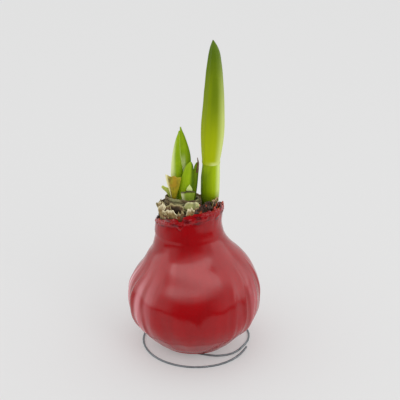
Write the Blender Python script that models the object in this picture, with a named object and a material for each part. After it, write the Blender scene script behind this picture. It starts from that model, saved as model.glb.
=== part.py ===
"""Amaryllis bulb dipped in red wax, standing on a bent wire, with its young leaves and one flower bud.

Lengths are in millimetres and become metres when a mesh is made. +X is to the viewer's right, +Y is away from
the viewer and +Z is up. The origin is on the floor, under the middle of the bulb. An azimuth is in degrees,
turned from +X towards +Y, so -90 is the front.
"""

import math
import random

import bmesh
import bpy
from mathutils import Vector

MM = 0.001
FIT_GAP = 0.3
HOLE_SPARE = 0.05
SMOOTH_ANGLE = 40.0

# The wax coat: its outline as (height, radius), and how far its axis strays from the origin in X.
WAX_OUTLINE = (
    (3.4, 25.5),
    (7.5, 30.2),
    (13.0, 35.2),
    (20.0, 40.8),
    (28.0, 44.2),
    (36.0, 45.0),
    (44.0, 44.2),
    (52.0, 41.3),
    (59.5, 36.8),
    (66.0, 32.3),
    (71.0, 28.2),
    (76.0, 25.4),
    (82.0, 23.3),
    (92.0, 22.2),
    (108.0, 22.1),
)
WAX_AXIS_X = ((40.0, 0.0), (50.0, 0.4), (59.0, 1.3), (69.0, -0.1), (79.0, -2.5), (93.0, -3.9), (108.0, -3.9))
WAX_BASE = 3.4
WAX_WALL = 2.0
WAX_SIDES = 72
WAX_OUTER_HEIGHTS = (5.0, 8.0, 12.0, 17.0, 23.0, 29.0, 35.0, 41.0, 47.0, 53.0, 58.5, 63.5, 68.0, 72.0, 76.0)
WAX_INNER_HEIGHTS = (76.0, 69.0, 60.0, 50.0, 39.0, 28.0, 19.0, 11.0)
WAX_INNER_BASE_RADIUS = 25.0

# The torn rim lies in a plane that is high at the front right and low at the back left.
NECK_X = -3.9
NECK_START = 80.0
NECK_BORE = 20.1
NECK_BORE_BOTTOM = 84.0
RIM_HEIGHT = 97.5
RIM_TILT = 7.5
RIM_HIGH_SIDE = -48.0
RIM_WALL = 1.1
RIM_TEAR = 0.55
RIM_NOTCH_AZIMUTH = -103.0
RIM_NOTCH_DEPTH = 2.6
RIM_SHARD_AZIMUTHS = (-40.0, -22.0, -6.0)
RIM_SHARD_HEIGHT = 2.4
LIP_HEIGHT = 4.4
LIP_TILT = 2.9
LIP_CREASE = 0.55
RIM_FLARE_RIGHT = 1.6
RIM_FLARE_LEFT = -0.8
BORE_TOP_IN_LIP = 0.8

# Rings up the outside of the neck: (share of the lip's height below the rim, further drop, inset).
NECK_RINGS = (
    (1.0, 10.5, 0.0),
    (1.0, 5.2, 0.0),
    (1.0, 1.0, 0.0),
    (1.0, 0.0, LIP_CREASE),
    (0.7, 0.0, -0.3),
    (0.25, 0.0, -0.1),
    (0.0, 0.0, 0.35),
    (0.0, 0.0, RIM_WALL),
)

# Long low flutes on the lower half of the wax.
FLUTE_COUNT = 16
FLUTE_DEPTH = 0.6
FLUTE_SWEEP = 0.55
FLUTE_MIDDLE = 26.0
FLUTE_REACH = 24.0

# The fleshy bulb inside.
NECK_LEDGE = 86.0
NECK_RADIUS = 17.5
BULB_SIDES = 36
NECK_TOP = 101.0
NECK_ROUNDING = 1.2
SEAT_HEIGHT = NECK_TOP + FIT_GAP

# The wire stand: centreline radius and height against the angle turned from its free end.
WIRE_RADIUS = 0.65
WIRE_SIDES = 6
WIRE_CENTRE_X = 1.5
WIRE_START_AZIMUTH = -22.5
WIRE_TURN = 700.0
WIRE_STEP = 7.0
WIRE_SPIRAL = (
    (0.0, 36.9),
    (60.0, 36.6),
    (180.0, 36.7),
    (270.0, 37.0),
    (322.0, 37.3),
    (340.0, 36.0),
    (358.0, 33.6),
    (378.0, 32.0),
    (398.0, 27.9),
    (414.0, 23.9),
    (440.0, 20.4),
    (500.0, 16.8),
    (580.0, 13.4),
    (700.0, 10.0),
)
WIRE_HEIGHTS = (
    (0.0, 2.3),
    (18.0, 1.3),
    (45.0, 0.65),
    (315.0, 0.65),
    (400.0, 1.7),
    (440.0, 2.44),
    (620.0, 2.44),
    (700.0, 0.9),
)
WIRE_BEND = 2.2
WIRE_BEND_STEPS = 6
WIRE_PEG_TOP = 20.0
WIRE_FLOOR_SNAP = 0.02

# The flower stalk and its bud: (height, middle x, half width across, half depth).
STALK_Y = 3.0
STALK_SIDES = 24
STALK_ROOT = (8.6, 2.3)
STALK_ROOT_RADIUS = 3.5
STALK_ROOT_BOTTOM = 92.0
STALK_PEG_RADIUS = 2.6
STALK_PEG_HEIGHT = 4.0
STALK_SECTIONS = (
    (SEAT_HEIGHT, 10.3, 5.3, 4.7),
    (106.0, 10.4, 5.8, 5.1),
    (112.0, 10.5, 6.1, 5.4),
    (119.0, 10.6, 6.1, 5.4),
    (125.0, 10.9, 5.8, 5.2),
    (129.3, 11.1, 5.6, 5.0),
)
BUD_SECTIONS = (
    (129.6, 11.1, 5.7, 5.1),
    (131.0, 11.1, 5.9, 5.3),
    (136.0, 11.3, 6.3, 5.6),
    (142.0, 11.6, 6.9, 6.0),
    (149.0, 11.9, 7.4, 6.3),
    (156.0, 12.1, 7.5, 6.4),
    (163.0, 12.3, 7.2, 6.2),
    (170.0, 12.5, 6.8, 5.8),
    (177.0, 12.6, 6.4, 5.4),
    (184.0, 12.7, 5.8, 4.9),
    (191.0, 12.7, 5.2, 4.4),
    (197.0, 12.7, 4.4, 3.8),
    (202.0, 12.7, 3.6, 3.1),
    (206.0, 12.5, 2.4, 2.1),
    (209.0, 12.2, 1.0, 0.9),
    (210.4, 12.0, 0.4, 0.4),
)
BUD_RIDGE_DEPTH = 0.22
BUD_RIDGES = 8
BUD_RIDGED_FROM = 3.0

# The cut top of the neck: three cut leaf bases, one inside the other, as (top, half width, half depth).
STUMP_X = -7.4
STUMP_Y = -1.5
STUMP_SIDES = 40
STUMP_STEPS = ((105.6, 12.0, 11.3), (108.0, 11.7, 10.7), (110.2, 11.3, 10.1))
STUMP_POCKET = (10.0, 8.9)
STUMP_LEDGE = 0.5
STUMP_STEP_INSET = 0.35
STUMP_STEP_RISE = 0.8
STUMP_ROUGHNESS = 0.3

# The neck was cut at a slant: the share of its height lost for each millimetre to the right and to the back.
STUMP_SLANT = (0.01, 0.019)
LEAF_SEAT = 103.0
LEAF_FOOT = LEAF_SEAT + FIT_GAP

TUNIC_INNER = 17.8
TUNIC_WALL = 0.8
TUNIC_SIDES = 64
TUNIC_BOTTOM = NECK_LEDGE + FIT_GAP
TUNIC_TOP = 102.4
TUNIC_TEAR = 0.7
TUNIC_RINGS = (0.0, 0.6, 1.0)

# Dips in the tunic's top, where the stalk leans over it and behind the front rim: (azimuth, from, to, depth).
TUNIC_DIPS = ((5.0, 35.0, 62.0, 2.2), (-85.0, 30.0, 60.0, 1.2))

# The tunic's edge is hardly torn near the front right: (azimuth, from, to, share left).
TUNIC_CALM = (-30.0, 60.0, 90.0, 0.2)
FLAKE_RADIUS = 19.65

BLADE_EDGE = 0.6
BLADE_THINNING = 0.4


def clear_scene():
    """Remove every object of the start-up scene."""
    for thing in list(bpy.data.objects):
        bpy.data.objects.remove(thing, do_unlink=True)


def finish(name, colour, roughness, metallic=0.0):
    """Make a Principled material with one colour, roughness and metallic value."""
    material = bpy.data.materials.new(name)
    material.use_nodes = True
    shader = material.node_tree.nodes["Principled BSDF"]
    shader.inputs["Base Color"].default_value = (*colour, 1.0)
    shader.inputs["Roughness"].default_value = roughness
    shader.inputs["Metallic"].default_value = metallic
    return material


def add_object(name, mesh_data, material):
    """Turn a bmesh in millimetres into a smooth-shaded object in metres."""
    bmesh.ops.recalc_face_normals(mesh_data, faces=mesh_data.faces)
    if mesh_data.calc_volume(signed=True) < 0.0:
        bmesh.ops.reverse_faces(mesh_data, faces=mesh_data.faces)
    bmesh.ops.scale(mesh_data, vec=(MM, MM, MM), verts=mesh_data.verts)
    mesh = bpy.data.meshes.new(name)
    mesh_data.to_mesh(mesh)
    mesh_data.free()
    mesh.shade_smooth()
    mesh.set_sharp_from_angle(angle=math.radians(SMOOTH_ANGLE))
    mesh.materials.append(material)
    thing = bpy.data.objects.new(name, mesh)
    bpy.context.scene.collection.objects.link(thing)
    return thing


def slope_at(stations, index):
    """Slope of a smooth curve at a station, level where a curve of numbers turns back or runs flat."""
    before = stations[max(index - 1, 0)]
    here = stations[index]
    after = stations[min(index + 1, len(stations) - 1)]
    if isinstance(here[1], float) and (here[1] - before[1]) * (after[1] - here[1]) <= 0.0:
        return 0.0
    return (after[1] - before[1]) / (after[0] - before[0])


def smooth_value(stations, key):
    """Read a smooth curve through (key, value) stations; a value is a number or a Vector."""
    if key <= stations[0][0]:
        return stations[0][1]
    if key >= stations[-1][0]:
        return stations[-1][1]
    index = max(i for i, station in enumerate(stations) if station[0] <= key)
    low, high = stations[index], stations[index + 1]
    span = high[0] - low[0]
    low_slope = slope_at(stations, index) * span
    high_slope = slope_at(stations, index + 1) * span
    t = (key - low[0]) / span
    return (
        low[1] * (2 * t**3 - 3 * t**2 + 1)
        + low_slope * (t**3 - 2 * t**2 + t)
        + high[1] * (3 * t**2 - 2 * t**3)
        + high_slope * (t**3 - t**2)
    )


def ramp(low, high, value):
    """Rise smoothly from 0 at low to 1 at high."""
    t = min(max((value - low) / (high - low), 0.0), 1.0)
    return t * t * (3.0 - 2.0 * t)


def ellipse(centre, across, depth, sides, relief=None):
    """Points of a level ellipse; relief gives each azimuth's extra radius."""
    points = []
    for side in range(sides):
        angle = math.tau * side / sides
        extra = relief(math.degrees(angle)) if relief else 0.0
        x = centre[0] + (across + extra) * math.cos(angle)
        y = centre[1] + (depth + extra) * math.sin(angle)
        points.append(Vector((x, y, centre[2])))
    return points


def loft(name, rings, material):
    """Skin rings of equally many points into one solid, with a face across each end."""
    mesh_data = bmesh.new()
    loops = [[mesh_data.verts.new(point) for point in ring] for ring in rings]
    for lower, upper in zip(loops, loops[1:]):
        for side in range(len(lower)):
            following = (side + 1) % len(lower)
            mesh_data.faces.new((lower[side], lower[following], upper[following], upper[side]))
    mesh_data.faces.new(reversed(loops[0]))
    mesh_data.faces.new(loops[-1])
    return add_object(name, mesh_data, material)


def cut(target, name, centre, radius, bottom, top, sides=16):
    """Cut a straight round hole in an object with a cylinder that stays in the file as a hidden guide."""
    mesh_data = bmesh.new()
    bmesh.ops.create_cone(
        mesh_data, cap_ends=True, segments=sides, radius1=radius, radius2=radius, depth=top - bottom
    )
    middle = Vector((centre[0], centre[1], (bottom + top) / 2))
    bmesh.ops.translate(mesh_data, vec=middle, verts=mesh_data.verts)
    cutter = add_object(name, mesh_data, target.data.materials[0])
    cutter.hide_render = True
    cutter.display_type = "WIRE"
    hole = target.modifiers.new(name, "BOOLEAN")
    hole.operation = "DIFFERENCE"
    hole.solver = "EXACT"
    hole.object = cutter


def azimuth_gap(first, second):
    """Smallest angle between two azimuths, in degrees."""
    return abs((first - second + 180.0) % 360.0 - 180.0)


def rim_height(azimuth, tears):
    """Height of the torn rim: a tilted plane, with small tears, one notch and a few shards."""
    height = RIM_HEIGHT + RIM_TILT * math.cos(math.radians(azimuth - RIM_HIGH_SIDE))
    height += tears[round(azimuth * WAX_SIDES / 360.0) % WAX_SIDES]
    height -= RIM_NOTCH_DEPTH * (1.0 - ramp(2.0, 7.0, azimuth_gap(azimuth, RIM_NOTCH_AZIMUTH)))
    for shard in RIM_SHARD_AZIMUTHS:
        height += RIM_SHARD_HEIGHT * (1.0 - ramp(1.0, 7.0, azimuth_gap(azimuth, shard)))
    return height


def flute(azimuth, height):
    """Relief of the long flutes, which sweep round a little as they rise."""
    strength = 1.0 - ramp(0.3, 1.0, abs(height - FLUTE_MIDDLE) / FLUTE_REACH)
    phase = math.radians(FLUTE_COUNT * azimuth + FLUTE_COUNT * FLUTE_SWEEP * (height - FLUTE_MIDDLE))
    return -FLUTE_DEPTH * strength * (0.5 + 0.5 * math.cos(phase))


def wax_point(azimuth, height, inset=0.0):
    """Point of the wax coat's surface, moved in towards its axis by inset."""
    angle = math.radians(azimuth)
    radius = smooth_value(WAX_OUTLINE, height) - inset
    axis_x = smooth_value(WAX_AXIS_X, height)
    return Vector((axis_x + radius * math.cos(angle), radius * math.sin(angle), height))


def neck_flare(azimuth, rise):
    """How far the neck opens out, which is most at the right of the rim; rise is 1 at the rim."""
    rightness = 0.5 + 0.5 * math.cos(math.radians(azimuth))
    flare = RIM_FLARE_LEFT + (RIM_FLARE_RIGHT - RIM_FLARE_LEFT) * rightness
    return flare * ramp(0.35, 1.0, rise)


def azimuths_round(sides):
    """Azimuths of the meridians of a round piece."""
    return [360.0 * side / sides for side in range(sides)]


def neck_ring(tears, lip_share, drop, inset):
    """Ring of the neck that follows the tilted rim, under it by a share of the lip's height and a drop."""
    ring = []
    for azimuth in azimuths_round(WAX_SIDES):
        rim = rim_height(azimuth, tears)
        height = rim - lip_share * lip_height(azimuth) - drop
        rise = (height - NECK_START) / (rim - NECK_START)
        ring.append(wax_point(azimuth, height, inset - neck_flare(azimuth, rise)))
    return ring


def lip_height(azimuth):
    """Height of the rim's lip above the crease."""
    return LIP_HEIGHT + LIP_TILT * math.cos(math.radians(azimuth - RIM_HIGH_SIDE))


def build_wax_coat(material):
    """The wax coat: a shell from the base up to the torn rim, and back down inside."""
    draw = random.Random(5)
    azimuths = azimuths_round(WAX_SIDES)
    tears = [draw.uniform(-RIM_TEAR, RIM_TEAR) for _ in range(WAX_SIDES)]
    rings = [[wax_point(azimuth, WAX_BASE) for azimuth in azimuths]]
    for height in WAX_OUTER_HEIGHTS:
        rings.append([wax_point(azimuth, height, -flute(azimuth, height)) for azimuth in azimuths])
    for lip_share, drop, inset in NECK_RINGS:
        rings.append(neck_ring(tears, lip_share, drop, inset))
    bore_top = []
    bore_bottom = []
    for azimuth in azimuths:
        height = rim_height(azimuth, tears) - BORE_TOP_IN_LIP * lip_height(azimuth)
        bore_top.append(at_neck(azimuth, NECK_BORE, height))
        bore_bottom.append(at_neck(azimuth, NECK_BORE, NECK_BORE_BOTTOM))
    rings += [bore_top, bore_bottom]
    for height in WAX_INNER_HEIGHTS:
        rings.append([wax_point(azimuth, height, WAX_WALL) for azimuth in azimuths])
    inner_base = (smooth_value(WAX_AXIS_X, WAX_BASE), 0.0, WAX_BASE + WAX_WALL)
    rings.append(ellipse(inner_base, WAX_INNER_BASE_RADIUS, WAX_INNER_BASE_RADIUS, WAX_SIDES))
    return loft("wax_coat", rings, material)


def build_bulb(material):
    """The fleshy bulb: it fills the wax coat, and its narrower neck stands up inside the rim."""
    azimuths = azimuths_round(BULB_SIDES)
    base_radius = WAX_INNER_BASE_RADIUS - FIT_GAP
    rings = [ellipse((0.0, 0.0, WAX_BASE + WAX_WALL + FIT_GAP), base_radius, base_radius, BULB_SIDES)]
    for height in reversed(WAX_INNER_HEIGHTS):
        rings.append([wax_point(azimuth, height, WAX_WALL + FIT_GAP) for azimuth in azimuths])
    steps = (
        (NECK_BORE_BOTTOM, NECK_BORE - FIT_GAP),
        (NECK_LEDGE - FIT_GAP, NECK_BORE - FIT_GAP),
        (NECK_LEDGE - FIT_GAP, NECK_RADIUS),
        (NECK_TOP - NECK_ROUNDING, NECK_RADIUS),
        (NECK_TOP, NECK_RADIUS - NECK_ROUNDING),
    )
    for height, radius in steps:
        rings.append(ellipse((NECK_X, 0.0, height), radius, radius, BULB_SIDES))
    return loft("bulb", rings, material)


def wire_path():
    """Centreline of the wire: a ring on the floor, a turn inwards under the bulb, and an upturned end."""
    points = []
    steps = round(WIRE_TURN / WIRE_STEP)
    for step in range(steps + 1):
        turned = step * WIRE_STEP
        radius = smooth_value(WIRE_SPIRAL, turned)
        angle = math.radians(WIRE_START_AZIMUTH - turned)
        x = WIRE_CENTRE_X + radius * math.cos(angle)
        points.append(Vector((x, radius * math.sin(angle), smooth_value(WIRE_HEIGHTS, turned))))
    heading = points[-1] - points[-2]
    heading.z = 0.0
    heading.normalize()
    corner = points[-1].copy()
    for step in range(1, WIRE_BEND_STEPS + 1):
        angle = math.radians(90.0 * step / WIRE_BEND_STEPS)
        forward = heading * (WIRE_BEND * math.sin(angle))
        points.append(corner + forward + Vector((0.0, 0.0, WIRE_BEND * (1.0 - math.cos(angle)))))
    points.append(Vector((points[-1].x, points[-1].y, (WAX_BASE + WIRE_PEG_TOP) / 2)))
    points.append(Vector((points[-1].x, points[-1].y, WIRE_PEG_TOP)))
    return points


def wire_rings(points):
    """Six-sided sections along the wire, each with a flat underside where the wire lies level."""
    rings = []
    corner_radius = WIRE_RADIUS / math.cos(math.pi / WIRE_SIDES)
    previous_side = None
    for index, point in enumerate(points):
        tangent = points[min(index + 1, len(points) - 1)] - points[max(index - 1, 0)]
        tangent.normalize()
        side = tangent.cross(Vector((0.0, 0.0, 1.0)))
        if side.length < 0.3:
            side = previous_side - tangent * previous_side.dot(tangent)
        side.normalize()
        previous_side = side
        lift = side.cross(tangent)
        ring = []
        for corner in range(WIRE_SIDES):
            angle = math.tau * corner / WIRE_SIDES
            ring.append(point + (side * math.cos(angle) + lift * math.sin(angle)) * corner_radius)
        rings.append(ring)
    return rings


def level_underside(rings):
    """Set the lowest corners of the wire's level run exactly on the floor."""
    for ring in rings:
        for corner in ring:
            if corner.z < WIRE_FLOOR_SNAP:
                corner.z = 0.0


def build_wire_stand(material):
    """The bent wire."""
    rings = wire_rings(wire_path())
    level_underside(rings)
    return loft("wire_stand", rings, material)


def build_stalk(material):
    """The flower stalk: an oval stem on a root peg, with a peg on top that holds the bud."""
    rings = []
    for height in (STALK_ROOT_BOTTOM, SEAT_HEIGHT):
        centre = (*STALK_ROOT, height)
        rings.append(ellipse(centre, STALK_ROOT_RADIUS, STALK_ROOT_RADIUS, STALK_SIDES))
    for height, x, across, depth in STALK_SECTIONS:
        rings.append(ellipse((x, STALK_Y, height), across, depth, STALK_SIDES))
    top, x = STALK_SECTIONS[-1][:2]
    for height in (top, top + STALK_PEG_HEIGHT):
        rings.append(ellipse((x, STALK_Y, height), STALK_PEG_RADIUS, STALK_PEG_RADIUS, STALK_SIDES))
    return loft("flower_stalk", rings, material)


def bud_ridge(azimuth):
    """Low ridges that run the length of the bud."""
    return BUD_RIDGE_DEPTH * math.cos(math.radians(BUD_RIDGES * azimuth))


def build_bud(material):
    """The closed bud: two spear-shaped bracts folded over the flowers, with a socket underneath."""
    bottom, x = BUD_SECTIONS[0][:2]
    socket = STALK_PEG_RADIUS + FIT_GAP
    rings = []
    for height in (bottom + STALK_PEG_HEIGHT, bottom):
        rings.append(ellipse((x, STALK_Y, height), socket, socket, STALK_SIDES))
    for height, x, across, depth in BUD_SECTIONS:
        relief = bud_ridge if across > BUD_RIDGED_FROM else None
        rings.append(ellipse((x, STALK_Y, height), across, depth, STALK_SIDES, relief))
    return loft("flower_bud", rings, material)


def build_stump(material):
    """The neck's cut top: stepped leaf bases round a pocket that the young leaves stand in."""
    draw = random.Random(11)
    roughness = [draw.uniform(-STUMP_ROUGHNESS, STUMP_ROUGHNESS) for _ in range(STUMP_SIDES)]
    outline = [(SEAT_HEIGHT, *STUMP_STEPS[0][1:])]
    for index, (top, across, depth) in enumerate(STUMP_STEPS):
        outline.append((top, across - STUMP_LEDGE / 2, depth - STUMP_LEDGE / 2))
        if index + 1 < len(STUMP_STEPS):
            floor = top - STUMP_LEDGE
            across, depth = STUMP_STEPS[index + 1][1:]
            outline.append((floor, across - STUMP_STEP_INSET, depth - STUMP_STEP_INSET))
            outline.append((floor + STUMP_STEP_RISE, across, depth))
    for height in (STUMP_STEPS[-1][0] - STUMP_LEDGE, LEAF_SEAT):
        outline.append((height, *STUMP_POCKET))
    rings = []
    for height, across, depth in outline:
        rings.append(ellipse((STUMP_X, STUMP_Y, height), across, depth, STUMP_SIDES))
    front = STUMP_Y - STUMP_STEPS[0][2]
    for ring in rings[1:-1]:
        for point, rough in zip(ring, roughness):
            lost = STUMP_SLANT[0] * (point.x - STUMP_X) + STUMP_SLANT[1] * (point.y - front)
            point.z = SEAT_HEIGHT + (point.z - SEAT_HEIGHT) * (1.0 - lost) + rough
    return loft("neck_stump", rings, material)


def at_neck(azimuth, radius, height):
    """Point at an azimuth, radius and height from the neck's own axis."""
    angle = math.radians(azimuth)
    return Vector((NECK_X + radius * math.cos(angle), radius * math.sin(angle), height))


def tunic_top(azimuth, tear):
    """Torn top of the skin round the neck."""
    height = TUNIC_TOP
    for centre, near, far, depth in TUNIC_DIPS:
        height -= depth * (1.0 - ramp(near, far, azimuth_gap(azimuth, centre)))
    centre, near, far, least = TUNIC_CALM
    return height + tear * (least + (1.0 - least) * ramp(near, far, azimuth_gap(azimuth, centre)))


def build_tunic_ring(material):
    """The papery skin that still wraps the whole neck: a thin tube with a torn top."""
    draw = random.Random(3)
    tears = [draw.uniform(-TUNIC_TEAR, TUNIC_TEAR) for _ in range(TUNIC_SIDES)]
    walls = [(TUNIC_INNER + TUNIC_WALL, rise) for rise in TUNIC_RINGS]
    walls += [(TUNIC_INNER, rise) for rise in reversed(TUNIC_RINGS)]
    mesh_data = bmesh.new()
    loops = []
    for radius, rise in walls:
        loop = []
        for azimuth, tear in zip(azimuths_round(TUNIC_SIDES), tears):
            height = TUNIC_BOTTOM + rise * (tunic_top(azimuth, tear) - TUNIC_BOTTOM)
            loop.append(mesh_data.verts.new(at_neck(azimuth, radius, height)))
        loops.append(loop)
    for lower, upper in zip(loops, loops[1:] + loops[:1]):
        for side in range(TUNIC_SIDES):
            following = (side + 1) % TUNIC_SIDES
            mesh_data.faces.new((lower[side], lower[following], upper[following], upper[side]))
    return add_object("tunic_ring", mesh_data, material)


def section_offset(width, arc, keel, across):
    """Sideways and outward offsets of a leaf's cross-section at across, from -1 to 1."""
    half = math.radians(arc) / 2
    if abs(half) < 0.01:
        sideways, outward = width / 2 * across, 0.0
    else:
        bend = width / 2 / math.sin(half)
        sideways = bend * math.sin(half * across)
        outward = bend * (math.cos(half * across) - 1.0)
    return sideways, outward + keel * (1.0 - abs(across))


def blade_front(leaf, rows, columns):
    """Grid of points on a leaf's outer face, from its foot to its tip."""
    draw = random.Random(leaf.get("seed", 1))
    tears = [draw.uniform(-1.0, 1.0) for _ in range(columns + 1)]
    grid = []
    for row in range(rows + 1):
        s = row / rows
        middle = smooth_value(leaf["spine"], s)
        width = smooth_value(leaf["widths"], s)
        facing = math.radians(smooth_value(leaf["facing"], s))
        outward = Vector((math.cos(facing), math.sin(facing), 0.0))
        sideways = Vector((-math.sin(facing), math.cos(facing), 0.0))
        arc = smooth_value(leaf["arc"], s)
        line = []
        for column in range(columns + 1):
            across = 2.0 * column / columns - 1.0
            side_offset, out_offset = section_offset(width, arc, leaf.get("keel", 0.0) * (1.0 - s), across)
            wave = math.sin(leaf.get("waves", 2.0) * math.tau * s + 2.0 * across)
            out_offset += leaf.get("wave", 0.0) * abs(across) * wave * ramp(0.3, 0.8, s)
            point = middle + sideways * side_offset + outward * out_offset
            point.z += leaf.get("tear", 0.0) * tears[column] * ramp(0.55, 1.0, s)
            line.append(point)
        grid.append(line)
    return grid


def grid_normal(grid, row, column):
    """Direction square to a grid of points, at one of them."""
    along = grid[min(row + 1, len(grid) - 1)][column] - grid[max(row - 1, 0)][column]
    across = grid[row][min(column + 1, len(grid[0]) - 1)] - grid[row][max(column - 1, 0)]
    return across.cross(along).normalized()


def blade_back(front, thickness, foot):
    """Grid of points on a leaf's inner face, a little thinner at its edges and no lower than its foot."""
    grid = []
    for row, points in enumerate(front):
        line = []
        for column, point in enumerate(points):
            across = 2.0 * column / (len(points) - 1) - 1.0
            depth = max(BLADE_EDGE, thickness * (1.0 - BLADE_THINNING * across * across))
            inner = point - grid_normal(front, row, column) * depth
            inner.z = max(inner.z, foot)
            line.append(inner)
        grid.append(line)
    return grid


def blade_border(rows, columns):
    """Grid places round a leaf's edge, in order."""
    border = [(0, column) for column in range(columns)]
    border += [(row, columns) for row in range(rows)]
    border += [(rows, column) for column in range(columns, 0, -1)]
    border += [(row, 0) for row in range(rows, 0, -1)]
    return border


def build_blade(name, material, leaf, rows=12, columns=6):
    """A leaf or a flake: a curved sheet whose front and back are split into like triangles."""
    front_points = blade_front(leaf, rows, columns)
    back_points = blade_back(front_points, leaf["thickness"], leaf["spine"][0][1].z)
    mesh_data = bmesh.new()
    front = [[mesh_data.verts.new(point) for point in line] for line in front_points]
    back = [[mesh_data.verts.new(point) for point in line] for line in back_points]
    for row in range(rows):
        for column in range(columns):
            for grid, turn in ((front, 1), (back, -1)):
                a, b = grid[row][column : column + 2]
                d, c = grid[row + 1][column : column + 2]
                mesh_data.faces.new((a, b, c)[::turn])
                mesh_data.faces.new((a, c, d)[::turn])
    border = blade_border(rows, columns)
    for (row, column), (next_row, next_column) in zip(border, border[1:] + border[:1]):
        inner = (back[row][column], back[next_row][next_column])
        outer = (front[next_row][next_column], front[row][column])
        mesh_data.faces.new(inner + outer)
    return add_object(name, mesh_data, material)


def spine(*points):
    """Stations of a leaf's middle line from (share of the length, x, y, z)."""
    return [(share, Vector((x, y, z))) for share, x, y, z in points]


def build_leaves(young, pale, dried):
    """The young leaves that stand in the neck's pocket, from the front to the back."""
    build_blade("leaf_base_cut", pale, {
        "spine": spine((0, -3.6, -8.1, LEAF_FOOT), (0.6, -3.6, -8.2, 110.0), (1, -3.6, -8.4, 114.2)),
        "widths": [(0, 7.8), (0.5, 8.2), (1, 9.4)],
        "facing": [(0, -84.0), (1, -86.0)],
        "arc": [(0, 70.0), (1, 70.0)],
        "thickness": 1.3,
        "tear": 0.35,
        "seed": 8,
    }, rows=5, columns=8)
    build_blade("leaf_tip_new", young, {
        "spine": spine((0, -3.2, -5.9, LEAF_FOOT), (0.6, -2.9, -6.0, 113.0), (1, -2.7, -6.2, 118.4)),
        "widths": [(0, 4.0), (0.7, 4.0), (1, 0.7)],
        "facing": [(0, -90.0), (1, -90.0)],
        "arc": [(0, 30.0), (1, 30.0)],
        "thickness": 0.8,
    }, rows=6, columns=4)
    build_blade("leaf_middle", young, {
        "spine": spine((0, -5.6, -3.9, LEAF_FOOT), (0.5, -4.4, -4.3, 118.0), (0.85, -2.9, -3.6, 128.5),
                       (1, -1.9, -2.9, 132.8)),
        "widths": [(0, 8.6), (0.35, 9.4), (0.6, 8.2), (0.85, 5.2), (0.95, 2.6), (1, 0.8)],
        "facing": [(0, -94.0), (1, -84.0)],
        "arc": [(0, 60.0), (1, 60.0)],
        "keel": 0.8,
        "thickness": 1.1,
    })
    build_blade("leaf_right", young, {
        "spine": spine((0, -0.4, 0.6, LEAF_FOOT), (0.4, 0.6, 0.6, 114.0), (0.8, 1.9, 0.6, 127.0),
                       (1, 2.4, 0.6, 133.0)),
        "widths": [(0, 2.6), (0.5, 3.4), (0.8, 3.0), (0.93, 1.6), (1, 0.7)],
        "facing": [(0, -80.0), (1, -70.0)],
        "arc": [(0, 40.0), (1, 60.0)],
        "thickness": 1.0,
    }, rows=10, columns=4)
    build_blade("leaf_tall_front", young, {
        "spine": spine((0, -10.4, -1.0, LEAF_FOOT), (0.35, -10.9, -1.0, 121.0), (0.65, -11.3, -0.2, 137.0),
                       (1, -9.4, 1.0, 152.4)),
        "widths": [(0, 8.2), (0.3, 9.4), (0.5, 7.6), (0.68, 5.0), (0.88, 2.6), (1, 0.8)],
        "facing": [(0, -100.0), (1, -104.0)],
        "arc": [(0, 80.0), (0.6, 100.0), (1, 90.0)],
        "thickness": 1.1,
    }, rows=14)
    build_blade("leaf_tall_back", young, {
        "spine": spine((0, -7.2, 4.2, LEAF_FOOT), (0.4, -6.4, 4.2, 124.0), (0.65, -6.1, 4.0, 136.0),
                       (1, -8.4, 3.2, 154.2)),
        "widths": [(0, 7.0), (0.4, 8.4), (0.65, 7.2), (0.88, 3.4), (1, 0.8)],
        "facing": [(0, -82.0), (1, -80.0)],
        "arc": [(0, -50.0), (0.6, -80.0), (1, -60.0)],
        "thickness": 1.0,
    }, rows=14)
    build_blade("leaf_short", young, {
        "spine": spine((0, -15.1, -0.3, LEAF_FOOT), (0.5, -15.4, -0.5, 109.4), (0.8, -18.0, -1.2, 113.2),
                       (1, -20.2, -1.8, 115.6)),
        "widths": [(0, 3.2), (0.5, 3.8), (0.75, 4.4), (0.93, 2.6), (1, 0.8)],
        "facing": [(0, -150.0), (1, -122.0)],
        "arc": [(0, 50.0), (1, 60.0)],
        "thickness": 0.9,
    }, rows=8, columns=4)
    build_blade("leaf_sheath", dried, {
        "spine": spine((0, -13.4, -3.4, LEAF_FOOT), (0.4, -13.5, -4.8, 111.4), (1, -13.9, -5.6, 123.6)),
        "widths": [(0, 3.2), (0.35, 4.8), (0.65, 8.4), (1, 11.0)],
        "facing": [(0, -116.0), (1, -108.0)],
        "arc": [(0, 60.0), (0.6, 76.0), (1, 90.0)],
        "thickness": 0.9,
        "tear": 0.4,
        "seed": 4,
    }, rows=10, columns=8)


def build_neck_scale(material):
    """The pale fleshy scale that leans on the cut top at the front."""
    build_blade("neck_scale", material, {
        "spine": spine((0, -0.4, -15.0, SEAT_HEIGHT), (0.6, -0.6, -14.9, 106.0), (0.9, -0.9, -14.3, 108.9),
                       (1, -1.0, -13.6, 109.4)),
        "widths": [(0, 9.0), (0.4, 11.6), (0.75, 9.4), (0.92, 6.0), (1, 3.2)],
        "facing": [(0, -88.0), (1, -88.0)],
        "arc": [(0, 40.0), (1, 40.0)],
        "thickness": 1.4,
    }, rows=8, columns=8)


def build_flake(name, material, azimuth, stations, thickness=0.7, **more):
    """A dry flake rooted behind the rim; stations give (share, radius, height, width, arc, extra azimuth)."""
    leaf = {
        "spine": [(s, at_neck(azimuth + turn, radius, height)) for s, radius, height, _, _, turn in stations],
        "widths": [(s, width) for s, _, _, width, _, _ in stations],
        "arc": [(s, arc) for s, _, _, _, arc, _ in stations],
        "facing": [(s, azimuth + turn) for s, _, _, _, _, turn in stations],
        "thickness": thickness,
        **more,
    }
    build_blade(name, material, leaf, rows=7, columns=6)


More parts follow.
